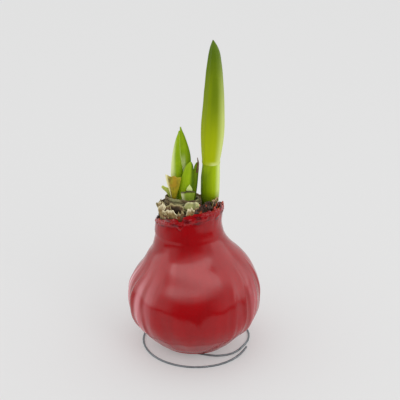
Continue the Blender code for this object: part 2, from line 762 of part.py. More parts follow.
def build_flakes(papery, brown, dark):
    """The torn tunics that stick up out of the rim, going round from the left."""
    rooted = FLAKE_RADIUS
    build_flake("flake_left", papery, -147.0, [
        (0.0, rooted, 88.5, 6.6, 20.0, 0.0),
        (0.5, rooted, 96.0, 6.8, 20.0, 0.0),
        (0.8, 20.4, 101.5, 8.0, -20.0, 0.0),
        (1.0, 19.2, 105.6, 5.6, -60.0, 2.0),
    ], tear=0.9, wave=0.5, seed=21)
    build_flake("flake_front_left", papery, -121.0, [
        (0.0, rooted, 91.0, 6.4, 19.0, 0.0),
        (0.6, rooted, 99.6, 6.4, 19.0, 0.0),
        (0.85, 19.9, 102.8, 7.2, 10.0, 0.0),
        (1.0, 20.6, 104.0, 5.0, -30.0, 0.0),
    ], tear=0.6, wave=0.3, seed=22)
    build_flake("flake_front", papery, -84.0, [
        (0.0, rooted, 94.0, 5.4, 16.0, 0.0),
        (0.6, rooted, 102.0, 5.4, 16.0, 0.0),
        (1.0, 19.0, 106.2, 3.0, 20.0, 0.0),
    ], tear=0.5, seed=23)
    build_flake("flake_red", dark, -62.0, [
        (0.0, rooted, 95.0, 5.4, 16.0, 0.0),
        (0.6, rooted, 103.4, 5.4, 16.0, 0.0),
        (1.0, 18.8, 108.6, 2.6, -30.0, 3.0),
    ], tear=0.8, seed=24)
    build_flake("flake_dark", dark, -42.0, [
        (0.0, rooted, 95.0, 5.0, 15.0, 0.0),
        (0.55, rooted, 103.4, 5.0, 15.0, 0.0),
        (1.0, 18.6, 109.4, 4.0, -50.0, -3.0),
    ], tear=1.0, wave=0.5, seed=25)
    build_flake("flake_brown", brown, -114.0, [
        (0.0, 16.6, SEAT_HEIGHT, 7.6, 27.0, 0.0),
        (0.4, 16.9, 103.6, 8.6, 10.0, 0.0),
        (0.8, 17.2, 106.6, 9.0, -50.0, 0.0),
        (1.0, 17.0, 108.2, 7.0, -70.0, 1.0),
    ], tear=0.5, seed=26)
    build_flake("flake_back_left", brown, 158.0, [
        (0.0, rooted, 87.5, 9.6, 28.0, 0.0),
        (0.6, rooted, 95.0, 9.6, 28.0, 0.0),
        (1.0, 20.8, 100.6, 6.5, -20.0, 0.0),
    ], tear=0.9, wave=0.4, seed=27)
    build_flake("flake_back", papery, 92.0, [
        (0.0, rooted, 87.5, 13.0, 39.0, 0.0),
        (0.6, rooted, 96.0, 13.0, 39.0, 0.0),
        (1.0, 20.6, 103.0, 9.0, 10.0, 0.0),
    ], thickness=0.6, tear=1.2, wave=0.5, seed=28)


def main():
    """Build every piece, from the floor up."""
    clear_scene()
    steel = finish("steel_wire", (0.42, 0.42, 0.41), 0.3, metallic=1.0)
    wax = finish("red_wax", (0.34, 0.0, 0.004), 0.3)
    flesh = finish("bulb_flesh", (0.75, 0.68, 0.45), 0.6)
    stem_green = finish("stem_green", (0.22, 0.33, 0.01), 0.45)
    bud_green = finish("bud_green", (0.26, 0.37, 0.01), 0.45)
    leaf_green = finish("leaf_green", (0.16, 0.33, 0.01), 0.45)
    cut_green = finish("cut_leaf_green", (0.24, 0.36, 0.05), 0.5)
    pale_green = finish("pale_scale", (0.42, 0.42, 0.16), 0.55)
    dried = finish("dried_sheath", (0.35, 0.27, 0.05), 0.6)
    papery = finish("papery_tunic", (0.5, 0.42, 0.24), 0.75)
    brown = finish("brown_tunic", (0.13, 0.08, 0.04), 0.8)
    dark = finish("dark_tunic", (0.06, 0.03, 0.02), 0.75)

    wire_end = wire_path()[-1]
    wire_hole = WIRE_RADIUS / math.cos(math.pi / WIRE_SIDES) + FIT_GAP + HOLE_SPARE
    build_wire_stand(steel)
    coat = build_wax_coat(wax)
    cut(coat, "wire_way_wax", wire_end, wire_hole, WAX_BASE - 2.0, WAX_BASE + WAX_WALL + 2.0, sides=12)
    bulb = build_bulb(flesh)
    cut(bulb, "wire_way_bulb", wire_end, wire_hole, WAX_BASE, WIRE_PEG_TOP + FIT_GAP, sides=12)
    root_hole = STALK_ROOT_RADIUS + FIT_GAP + HOLE_SPARE
    cut(bulb, "stalk_way", STALK_ROOT, root_hole, STALK_ROOT_BOTTOM - FIT_GAP, NECK_TOP + 2.0, sides=24)
    build_stalk(stem_green)
    build_bud(bud_green)
    build_stump(brown)
    build_tunic_ring(brown)
    build_leaves(leaf_green, cut_green, dried)
    build_neck_scale(pale_green)
    build_flakes(papery, brown, dark)


main()
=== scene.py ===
"""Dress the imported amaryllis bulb: red wax, bent steel wire, dry tunics, young leaves, stalk and bud.

Sizes are in millimetres and become metres when a mesh is laid out. +X is to the viewer's right, +Y away
from the viewer and +Z up. An azimuth is in degrees from +X towards +Y, so -90 is the front.
"""

import logging
import math
import random
from collections.abc import Callable, Sequence
from dataclasses import dataclass
from enum import Enum
from typing import Any

import bpy
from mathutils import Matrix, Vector, noise


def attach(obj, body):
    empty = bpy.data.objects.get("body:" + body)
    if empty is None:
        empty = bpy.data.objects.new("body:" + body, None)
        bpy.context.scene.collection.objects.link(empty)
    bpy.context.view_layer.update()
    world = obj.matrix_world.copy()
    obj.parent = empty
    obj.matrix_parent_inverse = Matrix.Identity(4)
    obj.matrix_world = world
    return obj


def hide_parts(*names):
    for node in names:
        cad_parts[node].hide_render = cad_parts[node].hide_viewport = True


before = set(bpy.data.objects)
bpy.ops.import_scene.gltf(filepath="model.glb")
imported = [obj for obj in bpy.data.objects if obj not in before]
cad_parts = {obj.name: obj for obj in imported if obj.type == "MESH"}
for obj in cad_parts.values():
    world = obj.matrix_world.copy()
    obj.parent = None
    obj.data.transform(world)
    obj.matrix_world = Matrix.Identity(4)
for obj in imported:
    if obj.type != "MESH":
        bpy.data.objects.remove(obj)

LOG = logging.getLogger("amaryllis")
MM = 0.001
BODY = "root"
FRONT = -90.0
# Heights of the leaves' feet and of the neck's cut face, and the x of the neck's axis.
LEAF_FOOT = 103.3
SEAT = 101.3
NECK_X = -3.9

# Where a smooth change begins and where it is complete; then the windows of the finishes' patterns.
Window = tuple[float, float]
GLOSS_WINDOW: Window = (0.3, 0.7)
BLOTCH_WINDOW: Window = (0.42, 0.6)
FIBRE_WINDOW: Window = (0.4, 0.68)


class Slot(Enum):
    """The record's material slots."""

    STEEL = "steel_wire"
    WAX = "red_wax"
    FLESH = "bulb_flesh"
    STALK = "stem_green"
    BUD = "bud_green"
    LEAF = "leaf_green"
    CUT_LEAF = "cut_leaf_green"
    SCALE = "pale_scale"
    SHEATH = "dried_sheath"
    PAPERY = "papery_tunic"
    BROWN = "brown_tunic"
    DARK = "dark_tunic"


class Ends(Enum):
    """How a tube ends."""

    OPEN = "open"
    CAPPED = "capped"


def ramp(low: float, high: float, value: float) -> float:
    """Go smoothly from 0 at low to 1 at high, which may be the smaller of the two.

    Args:
        low: Where the change begins.
        high: Where it is complete.
        value: Where it is read.

    Returns:
        A share from 0 to 1.
    """
    t = min(max((value - low) / (high - low), 0.0), 1.0)
    return t * t * (3.0 - 2.0 * t)


def azimuth_gap(first: float, second: float) -> float:
    """Return the smallest angle between two azimuths, in degrees."""
    return abs((first - second + 180.0) % 360.0 - 180.0)


def around(azimuth: float, radius: float, height: float, x: float = 0.0) -> Vector:
    """Return the point at an azimuth and a radius from the upright axis at x, at a height."""
    angle = math.radians(azimuth)
    return Vector((x + radius * math.cos(angle), radius * math.sin(angle), height))


def azimuths(sides: int) -> list[float]:
    """Return the azimuths of a round of even sides, from +X towards +Y."""
    return [360.0 * side / sides for side in range(sides)]


def ragged(azimuth: float, teeth: float, seed: float) -> float:
    """Return a seamless rough value, from -1 to 1, with about so many teeth round a circle."""
    return noise.noise(around(azimuth, teeth / math.tau, seed))


@dataclass(frozen=True)
class Curve:
    """A smooth curve through (key, value) stations, whose values are numbers or vectors."""

    stations: tuple[tuple[float, Any], ...]

    def slope(self, index: int) -> Any:
        """Return the slope at a station, level where numbers turn back or run flat."""
        before = self.stations[max(index - 1, 0)]
        here = self.stations[index]
        after = self.stations[min(index + 1, len(self.stations) - 1)]
        if isinstance(here[1], float) and (here[1] - before[1]) * (after[1] - here[1]) <= 0.0:
            return 0.0
        return (after[1] - before[1]) / (after[0] - before[0])

    def at(self, key: float) -> Any:
        """Read the curve.

        Args:
            key: Where to read it; outside the stations it keeps its end values.

        Returns:
            The number or vector there.
        """
        if key <= self.stations[0][0]:
            return self.stations[0][1]
        if key >= self.stations[-1][0]:
            return self.stations[-1][1]
        index = max(i for i, station in enumerate(self.stations) if station[0] <= key)
        low, high = self.stations[index], self.stations[index + 1]
        span = high[0] - low[0]
        t = (key - low[0]) / span
        return (
            low[1] * (2 * t**3 - 3 * t**2 + 1)
            + self.slope(index) * span * (t**3 - 2 * t**2 + t)
            + high[1] * (3 * t**2 - 2 * t**3)
            + self.slope(index + 1) * span * (t**3 - t**2)
        )


def curve(*stations: tuple[float, float]) -> Curve:
    """Make a curve of numbers from (key, value) stations."""
    return Curve(tuple((float(key), float(value)) for key, value in stations))


def steady(first: float, last: float) -> Curve:
    """Make a curve that runs from one number to another."""
    return curve((0, first), (1, last))


def path(*stations: tuple[float, float, float, float]) -> Curve:
    """Make a curve in space from (share, x, y, z) stations."""
    return Curve(tuple((share, Vector((x, y, z))) for share, x, y, z in stations))


@dataclass
class Lay:
    """One point of a surface, and what its finish reads there.

    Attributes:
        place: Where the point is, in millimetres.
        grain: Millimetres round or across the surface, and along it, which its fibres follow.
        pale: How far the finish turns to its pale colour.
        dark: How far it turns to its dark colour.
        warm: How far it turns to its warm colour.
        thick: Share of the wall's full thickness.
    """

    place: Vector
    grain: Vector
    pale: float = 0.0
    dark: float = 0.0
    warm: float = 0.0
    thick: float = 1.0


def select_only(thing: bpy.types.Object) -> None:
    """Select one object and make it the active one."""
    bpy.ops.object.select_all(action="DESELECT")
    thing.select_set(True)
    bpy.context.view_layer.objects.active = thing


def lay_out(thing: bpy.types.Object, lays: Sequence[Lay]) -> None:
    """Move an object's vertices to their places and write what the finishes read.

    Args:
        thing: The object, at the origin.
        lays: One lay for each vertex, in order.
    """
    mesh = thing.data
    for name, kind in (("grain", "FLOAT_VECTOR"), ("pale", "FLOAT"), ("dark", "FLOAT"), ("warm", "FLOAT")):
        mesh.attributes.new(name, kind, "POINT")
    mesh.vertices.foreach_set("co", [number * MM for lay in lays for number in lay.place])
    mesh.attributes["grain"].data.foreach_set("vector", [number for lay in lays for number in lay.grain])
    for name in ("pale", "dark", "warm"):
        mesh.attributes[name].data.foreach_set("value", [getattr(lay, name) for lay in lays])
    thick = thing.vertex_groups.new(name="thick")
    for index, lay in enumerate(lays):
        thick.add([index], lay.thick, "REPLACE")
    mesh.update()


def make_sheet(name: str, lines: Sequence[Sequence[Lay]]) -> bpy.types.Object:
    """Add a flat grid and lay it out as a curved sheet.

    Args:
        name: The object's name.
        lines: Rows of lays, from the foot up, each from left to right.

    Returns:
        The sheet, still without thickness.
    """
    bpy.ops.object.select_all(action="DESELECT")
    rows, columns = len(lines) - 1, len(lines[0]) - 1
    bpy.ops.mesh.primitive_grid_add(x_subdivisions=columns, y_subdivisions=rows, size=1.0)
    thing = bpy.context.active_object
    thing.name = name
    lays = []
    for vertex in thing.data.vertices:
        column = round((vertex.co.x + 0.5) * columns)
        row = round((vertex.co.y + 0.5) * rows)
        lays.append(lines[row][column])
    lay_out(thing, lays)
    return thing


def cap_ends(thing: bpy.types.Object) -> None:
    """Put a face on a tube's last ring, which is selected in edit mode, and then on its first."""
    bpy.ops.mesh.edge_face_add()
    bpy.ops.mesh.select_all(action="DESELECT")
    bpy.ops.object.mode_set(mode="OBJECT")
    for vertex in thing.data.vertices:
        vertex.select = vertex.co.z < 0.5
    bpy.ops.object.mode_set(mode="EDIT")
    bpy.ops.mesh.edge_face_add()


def make_tube(name: str, rings: Sequence[Sequence[Lay]], ends: Ends) -> bpy.types.Object:
    """Add a circle, extrude it ring by ring, and lay it out as a hollow or capped tube.

    Args:
        name: The object's name.
        rings: Rings of lays in order along the tube, each turning from +X towards +Y.
        ends: Whether each end gets a face.

    Returns:
        The tube.
    """
    bpy.ops.object.select_all(action="DESELECT")
    sides = len(rings[0])
    bpy.ops.mesh.primitive_circle_add(vertices=sides, radius=1.0, fill_type="NOTHING")
    thing = bpy.context.active_object
    thing.name = name
    bpy.ops.object.mode_set(mode="EDIT")
    bpy.ops.mesh.select_all(action="SELECT")
    for _ in rings[1:]:
        bpy.ops.mesh.extrude_edges_move(TRANSFORM_OT_translate={"value": (0.0, 0.0, 1.0)})
    if ends is Ends.CAPPED:
        cap_ends(thing)
    bpy.ops.object.mode_set(mode="OBJECT")
    lays = []
    for vertex in thing.data.vertices:
        side = round(math.atan2(vertex.co.y, vertex.co.x) / math.tau * sides) % sides
        lays.append(rings[round(vertex.co.z)][side])
    lay_out(thing, lays)
    return thing


def face_outwards(thing: bpy.types.Object, inside: Vector) -> None:
    """Turn a surface's faces away from a point behind it.

    Args:
        thing: The object.
        inside: A point on the inner side, in millimetres.
    """
    select_only(thing)
    bpy.ops.object.mode_set(mode="EDIT")
    bpy.ops.mesh.select_all(action="SELECT")
    bpy.ops.mesh.normals_make_consistent(inside=False)
    bpy.ops.object.mode_set(mode="OBJECT")
    facing = 0.0
    for face in thing.data.polygons:
        facing += face.area * face.normal.dot(face.center - inside * MM)
    if facing < 0.0:
        bpy.ops.object.mode_set(mode="EDIT")
        bpy.ops.mesh.flip_normals()
        bpy.ops.object.mode_set(mode="OBJECT")


def give_wall(thing: bpy.types.Object, thickness: float, least: float) -> None:
    """Give a sheet its thickness, inwards, and apply it.

    Args:
        thing: The sheet, facing outwards.
        thickness: Its full thickness, in millimetres.
        least: Share of that left where a lay's thick is 0.
    """
    select_only(thing)
    wall = thing.modifiers.new("wall", "SOLIDIFY")
    wall.thickness = thickness * MM
    wall.offset = -1.0
    wall.vertex_group = "thick"
    wall.thickness_vertex_group = least
    wall.use_quality_normals = True
    bpy.ops.object.modifier_apply(modifier=wall.name)


def smooth(thing: bpy.types.Object, levels: int, sharp_from: float = 50.0) -> None:
    """Subdivide a piece, apply that, and shade it smooth up to an angle in degrees."""
    select_only(thing)
    if levels:
        finer = thing.modifiers.new("finer", "SUBSURF")
        finer.levels = levels
        finer.render_levels = levels
        bpy.ops.object.modifier_apply(modifier=finer.name)
    bpy.ops.object.shade_smooth_by_angle(angle=math.radians(sharp_from))


def linear(code: str) -> tuple[float, float, float, float]:
    """Turn an sRGB hex colour into a linear one with full alpha."""
    channels = [int(code[start : start + 2], 16) / 255.0 for start in (1, 3, 5)]
    red, green, blue = (c / 12.92 if c <= 0.04045 else ((c + 0.055) / 1.055) ** 2.4 for c in channels)
    return (red, green, blue, 1.0)


def add_node(
    material: bpy.types.Material,
    kind: str,
    settings: dict[str | int, Any],
    links: dict[str | int, bpy.types.NodeSocket] | None = None,
) -> bpy.types.Node:
    """Add one shader node.

    Args:
        material: The material whose tree gets it.
        kind: The node's Blender type.
        settings: Values of its sockets, by name or number, and of its properties.
        links: Output sockets that feed its inputs, by name or number.

    Returns:
        The node.
    """
    tree = material.node_tree
    node = tree.nodes.new(kind)
    for key, value in settings.items():
        if isinstance(key, int) or key in node.inputs:
            node.inputs[key].default_value = value
        else:
            setattr(node, key, value)
    for key, socket in (links or {}).items():
        tree.links.new(socket, node.inputs[key])
    return node


def add_window(
    material: bpy.types.Material,
    value: bpy.types.NodeSocket,
    window: Window,
    reach: Window = (0.0, 1.0),
    easing: str = "LINEAR",
) -> bpy.types.NodeSocket:
    """Map a value from a window to a reach, whose ends it keeps outside the window.

    Args:
        material: The material whose tree gets the node.
        value: The output to map.
        window: The value where the mapping begins and where it ends.
        reach: What it becomes there.
        easing: Blender's name for the way between them.

    Returns:
        The mapped output.
    """
    settings = {
        "interpolation_type": easing,
        "From Min": window[0],
        "From Max": window[1],
        "To Min": reach[0],
        "To Max": reach[1],
    }
    return add_node(material, "ShaderNodeMapRange", settings, {"Value": value}).outputs["Result"]


@dataclass(frozen=True)
class Finish:
    """A real surface: its colours, its fibres, its blotches and its gloss.

    Attributes:
        name: The real material and how it was made.
        slot: The record's slot that it stands for; not used.
        main: Its usual colour.
        second: The colour of its blotches.
        streak: The colour of its fibres or veins.
        pale: The colour where a piece's pale attribute is 1.
        dark: The colour where its dark attribute is 1.
        warm: The colour where its warm attribute is 1.
        blotch_mm: Size of the blotches.
        fibre_mm: Spacing of the fibres.
        fibre_length_mm: Length over which a fibre changes.
        streaking: How strongly the fibres colour the surface.
        roughness: Lowest and highest roughness.
        relief_mm: Height of the fibres.
        ior: Index of refraction.
        specular: Strength of its gloss, 0.5 for what the index gives.
        metallic: Whether it is a metal.
    """

    name: str
    slot: Slot
    main: str
    second: str
    streak: str
    pale: str
    dark: str
    warm: str
    blotch_mm: float
    fibre_mm: float
    fibre_length_mm: float
    streaking: float
    roughness: tuple[float, float]
    relief_mm: float
    ior: float = 1.45
    specular: float = 0.5
    metallic: float = 0.0

    def build(self) -> bpy.types.Material:
        """Make the material.

        Returns:
            A Principled material that reads Object coordinates and the piece's own attributes.
        """
        material = bpy.data.materials.new(self.name)
        material.use_nodes = True
        shader = material.node_tree.nodes["Principled BSDF"]
        shader.inputs["IOR"].default_value = self.ior
        shader.inputs["Metallic"].default_value = self.metallic
        shader.inputs["Specular IOR Level"].default_value = self.specular
        blotches, fibres = self.add_patterns(material)
        colour = self.add_colour(material, blotches, fibres)
        link = material.node_tree.links.new
        link(colour, shader.inputs["Base Color"])
        link(add_window(material, blotches, GLOSS_WINDOW, self.roughness), shader.inputs["Roughness"])
        bump = add_node(
            material,
            "ShaderNodeBump",
            {"Strength": 0.6, "Distance": self.relief_mm * MM},
            {"Height": fibres},
        )
        link(bump.outputs["Normal"], shader.inputs["Normal"])
        return material

    def add_patterns(
        self, material: bpy.types.Material
    ) -> tuple[bpy.types.NodeSocket, bpy.types.NodeSocket]:
        """Add the blotches and the fibres.

        Args:
            material: The material being made.

        Returns:
            The outputs of the blotches and of the fibres, each from 0 to 1.
        """
        place = add_node(material, "ShaderNodeTexCoord", {})
        blotches = add_node(
            material,
            "ShaderNodeTexNoise",
            {"Scale": 1.0 / (self.blotch_mm * MM), "Detail": 4.0, "Roughness": 0.6},
            {"Vector": place.outputs["Object"]},
        )
        grain = add_node(material, "ShaderNodeAttribute", {"attribute_name": "grain"})
        round_scale, along_scale = 1.0 / self.fibre_mm, 1.0 / self.fibre_length_mm
        stretched = add_node(
            material,
            "ShaderNodeVectorMath",
            {"operation": "MULTIPLY", 1: (round_scale, round_scale, along_scale)},
            {0: grain.outputs["Vector"]},
        )
        fibres = add_node(
            material,
            "ShaderNodeTexNoise",
            {"Scale": 1.0, "Detail": 3.0, "Roughness": 0.55},
            {"Vector": stretched.outputs["Vector"]},
        )
        return blotches.outputs["Fac"], fibres.outputs["Fac"]

    def add_colour(
        self, material: bpy.types.Material, blotches: bpy.types.NodeSocket, fibres: bpy.types.NodeSocket
    ) -> bpy.types.NodeSocket:
        """Mix the finish's colours.

        Args:
            material: The material being made.
            blotches: The blotch pattern.
            fibres: The fibre pattern.

        Returns:
            The output that holds the mixed colour.
        """
        mask = add_window(material, blotches, BLOTCH_WINDOW)
        lines = add_window(material, fibres, FIBRE_WINDOW, (0.0, self.streaking))
        base = add_node(material, "ShaderNodeRGB", {})
        colour = base.outputs[0]
        colour.default_value = linear(self.main)
        layers = [(self.second, mask), (self.streak, lines)]
        for name, code in (("warm", self.warm), ("pale", self.pale), ("dark", self.dark)):
            tone = add_node(material, "ShaderNodeAttribute", {"attribute_name": name})
            layers.append((code, tone.outputs["Fac"]))
        for code, factor in layers:
            settings = {"data_type": "RGBA", 7: linear(code)}
            colour = add_node(material, "ShaderNodeMix", settings, {0: factor, 6: colour}).outputs[2]
        return colour


# Paraffin wax, dipped: deep even red, smooth, with a soft broad gloss and faint streaks down the bulb. Its
# pale colour is a painted sheen at the sides, its dark colour both real bruises and char and painted shade in
# the lip's crease and the bore, and its warm colour a painted glow at the torn edge.
DIPPED_WAX = Finish(
    "paraffin wax, dipped", Slot.WAX,
    main="#980007", second="#8e0006", streak="#a4000c", pale="#ee9ea6", dark="#34060e", warm="#c8481a",
    blotch_mm=14.0, fibre_mm=2.4, fibre_length_mm=70.0, streaking=0.25, roughness=(0.17, 0.23),
    relief_mm=0.04, ior=1.45, specular=0.45,
)
# Steel wire, drawn: dark grey metal with a satin shine that runs along it.
DRAWN_STEEL = Finish(
    "steel wire, drawn", Slot.STEEL,
    main="#6c7074", second="#5e6266", streak="#7a7e82", pale="#b0b4b6", dark="#4c5052", warm="#8c8478",
    blotch_mm=6.0, fibre_mm=0.2, fibre_length_mm=30.0, streaking=0.4, roughness=(0.26, 0.36),
    relief_mm=0.004, ior=1.5, metallic=1.0,
)
# Flower stalk, a fleshy stem: yellow-green, satin, finely ribbed along its length.
STALK_SKIN = Finish(
    "fleshy stalk skin", Slot.STALK,
    main="#708a00", second="#688200", streak="#7e9600", pale="#d8e88e", dark="#26380a", warm="#a8c208",
    blotch_mm=16.0, fibre_mm=0.8, fibre_length_mm=60.0, streaking=0.35, roughness=(0.38, 0.46),
    relief_mm=0.1, ior=1.42, specular=0.12,
)
# Spathe, two fleshy bracts: as the stalk, with fine veins that run up to the tip.
SPATHE_SKIN = Finish(
    "spathe bract skin", Slot.BUD,
    main="#728600", second="#6a7e00", streak="#7e9200", pale="#d6e28c", dark="#466200", warm="#a8b600",
    blotch_mm=18.0, fibre_mm=0.9, fibre_length_mm=80.0, streaking=0.35, roughness=(0.38, 0.46),
    relief_mm=0.1, ior=1.42, specular=0.12,
)
# Young strap leaf: bright yellow-green with parallel veins and a satin cuticle.
YOUNG_LEAF = Finish(
    "young strap leaf", Slot.LEAF,
    main="#8eac04", second="#80a000", streak="#a0ba20", pale="#e4eea6", dark="#305000", warm="#b6b818",
    blotch_mm=12.0, fibre_mm=0.6, fibre_length_mm=50.0, streaking=0.4, roughness=(0.4, 0.5),
    relief_mm=0.12, ior=1.42, specular=0.15,
)
# Cut leaf base: soft green flesh with a pale edge and a browned cut.
CUT_LEAF = Finish(
    "cut leaf base", Slot.CUT_LEAF,
    main="#8aa42a", second="#78921c", streak="#9eb048", pale="#d2d6a2", dark="#3a2a14", warm="#a89a3c",
    blotch_mm=4.0, fibre_mm=0.6, fibre_length_mm=20.0, streaking=0.4, roughness=(0.42, 0.55),
    relief_mm=0.12, specular=0.3,
)
# Fleshy scale: moist pale green tissue, faintly veined.
FLESHY_SCALE = Finish(
    "fleshy bulb scale", Slot.SCALE,
    main="#a9ad62", second="#93985a", streak="#bcbc80", pale="#d6cfa4", dark="#5e5430", warm="#8f9a3c",
    blotch_mm=5.0, fibre_mm=0.9, fibre_length_mm=14.0, streaking=0.4, roughness=(0.4, 0.55),
    relief_mm=0.15,
)
# Old leaf sheath, drying: olive brown and fibrous, with a cream margin.
DRYING_SHEATH = Finish(
    "drying leaf sheath", Slot.SHEATH,
    main="#a09408", second="#8a7a08", streak="#b8a824", pale="#ece6a8", dark="#3e2a10", warm="#b08410",
    blotch_mm=3.0, fibre_mm=0.6, fibre_length_mm=18.0, streaking=0.5, roughness=(0.5, 0.65),
    relief_mm=0.15, specular=0.3,
)
# Tunic, dried to paper: cream and tan, matt, with long brittle fibres.
PAPER_TUNIC = Finish(
    "papery tunic", Slot.PAPERY,
    main="#a8925e", second="#7e6438", streak="#6a5230", pale="#eee4be", dark="#2c1c10", warm="#c07a34",
    blotch_mm=2.2, fibre_mm=0.5, fibre_length_mm=6.0, streaking=0.7, roughness=(0.65, 0.85),
    relief_mm=0.3, specular=0.3,
)
# Tunic, dried brown: the same skin, tanned through.
BROWN_TUNIC = Finish(
    "browned tunic", Slot.BROWN,
    main="#64482a", second="#4a321c", streak="#83663e", pale="#b4a878", dark="#140c08", warm="#8c4a1e",
    blotch_mm=3.0, fibre_mm=0.5, fibre_length_mm=9.0, streaking=0.6, roughness=(0.65, 0.85),
    relief_mm=0.2, specular=0.3,
)
# Neck stump, cut leaf bases: greyish olive strata, browned, black in the grooves between them, with painted
# shade at the foot and deep in the pocket.
CUT_STRATA = Finish(
    "cut leaf bases, dried", Slot.BROWN,
    main="#73613c", second="#4e3c24", streak="#94845a", pale="#a3a672", dark="#0e0a06", warm="#8c5a26",
    blotch_mm=2.5, fibre_mm=1.4, fibre_length_mm=1.2, streaking=0.6, roughness=(0.6, 0.8),
    relief_mm=0.3, specular=0.3,
)
# Tunic, dried nearly black where it was torn and soaked.
DARK_TUNIC = Finish(
    "blackened tunic", Slot.DARK,
    main="#34200f", second="#1c100a", streak="#643a1c", pale="#b89a6a", dark="#080504", warm="#c4481a",
    blotch_mm=2.0, fibre_mm=0.5, fibre_length_mm=7.0, streaking=0.5, roughness=(0.45, 0.7),
    relief_mm=0.2,
)
# Bulb flesh, cut and dried at the neck: buff, matt.
BULB_FLESH = Finish(
    "dried bulb flesh", Slot.FLESH,
    main="#6f5c38", second="#4e3c22", streak="#84704a", pale="#a89468", dark="#2c2014", warm="#8a6230",
    blotch_mm=3.0, fibre_mm=0.8, fibre_length_mm=8.0, streaking=0.3, roughness=(0.6, 0.8),
    relief_mm=0.2, specular=0.3,
)


class Dresser:
    """Keeps each finish's material and enrols finished pieces in the frame."""

    def __init__(self) -> None:
        """Start with no materials made."""
        self.materials: dict[Finish, bpy.types.Material] = {}

    def material(self, finish: Finish) -> bpy.types.Material:
        """Return a finish's material, made once."""
        if finish not in self.materials:
            self.materials[finish] = finish.build()
        return self.materials[finish]

    def enrol(self, thing: bpy.types.Object, finish: Finish, *nodes: str) -> None:
        """Finish a piece and hand it to the frame.

        Args:
            thing: The piece, at the origin.
            finish: Its finish.
            *nodes: The solids that it stands for.
        """
        thing.data.materials.clear()
        thing.data.materials.append(self.material(finish))
        thing.vertex_groups.clear()
        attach(thing, BODY)
        if nodes:
            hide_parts(*nodes)
        LOG.info("%s: %d faces, for %s", thing.name, len(thing.data.polygons), ", ".join(nodes) or "no solid")


@dataclass
class WireStand:
    """The bent wire: a ring on the floor, a turn inwards under the bulb, and an upturned end."""

    radius: float = 0.65
    centre_x: float = 1.5
    start_azimuth: float = -22.5
    turn: float = 700.0
    step: float = 7.0
    bend: float = 2.2
    bend_steps: int = 6
    peg_top: float = 20.0
    spiral: Curve = curve(
        (0, 36.9), (60, 36.6), (180, 36.7), (270, 37), (322, 37.3), (340, 36), (358, 33.6), (378, 32),
        (398, 27.9), (414, 23.9), (440, 20.4), (500, 16.8), (580, 13.4), (700, 10),
    )
    heights: Curve = curve(
        (0, 2.3), (18, 1.3), (45, 0.65), (315, 0.65), (400, 1.7), (440, 2.44), (620, 2.44), (700, 0.9)
    )

    def route(self) -> list[Vector]:
        """Return the points of the wire's centreline."""
        points = []
        for step in range(round(self.turn / self.step) + 1):
            turned = step * self.step
            angle = math.radians(self.start_azimuth - turned)
            radius = self.spiral.at(turned)
            x = self.centre_x + radius * math.cos(angle)
            points.append(Vector((x, radius * math.sin(angle), self.heights.at(turned))))
        heading = points[-1] - points[-2]
        heading.z = 0.0
        heading.normalize()
        corner = points[-1].copy()
        for step in range(1, self.bend_steps + 1):
            angle = math.radians(90.0 * step / self.bend_steps)
            rise = Vector((0.0, 0.0, self.bend * (1.0 - math.cos(angle))))
            points.append(corner + heading * (self.bend * math.sin(angle)) + rise)
        points.append(Vector((points[-1].x, points[-1].y, self.peg_top)))
        return points

    def build(self, dresser: Dresser) -> None:
        """Bevel a curve along the route and turn it into a mesh."""
        bpy.ops.object.select_all(action="DESELECT")
        bpy.ops.curve.primitive_bezier_curve_add()
        thing = bpy.context.active_object
        thing.name = "bent_wire"
        line = thing.data
        line.splines.clear()
        route = self.route()
        spline = line.splines.new("POLY")
        spline.points.add(len(route) - 1)
        for point, place in zip(spline.points, route):
            point.co = (*(place * MM), 1.0)
        line.bevel_depth = self.radius * MM
        line.bevel_resolution = 3
        line.use_fill_caps = True
        bpy.ops.object.convert(target="MESH")
        thing = bpy.context.active_object
        lays = [Lay(vertex.co / MM, vertex.co / MM) for vertex in thing.data.vertices]
        lay_out(thing, lays)
        smooth(thing, 0)
        dresser.enrol(thing, DRAWN_STEEL, "wire_stand")


@dataclass(frozen=True)
class Rib:
    """One fold of the tunics that shows through the wax.

    Attributes:
        azimuth: Where its crest is.
        half_width: Half its width, in degrees.
        rise: How far its crest stands out.
        low: Height at which it begins.
        high: Height at which it has died away.
        foot_fade: Height over which it rises.
        top_fade: Height over which it dies away.
        steepness: Share of the half width that its steep side takes.
    """

    azimuth: float
    half_width: float
    rise: float
    low: float
    high: float
    foot_fade: float = 8.0
    top_fade: float = 16.0
    steepness: float = 0.55

    def at(self, azimuth: float, height: float) -> float:
        """Return the fold's rise: gentle on one side of its crest, steep on the other."""
        across = ((azimuth - self.azimuth + 180.0) % 360.0 - 180.0) / self.half_width
        if abs(across) >= 1.0:
            return 0.0
        crest = ramp(-1.0, 0.0, across) * (1.0 - ramp(0.0, self.steepness, across))
        above = ramp(self.low, self.low + self.foot_fade, height)
        below = 1.0 - ramp(self.high - self.top_fade, self.high, height)
        return self.rise * crest * above * below


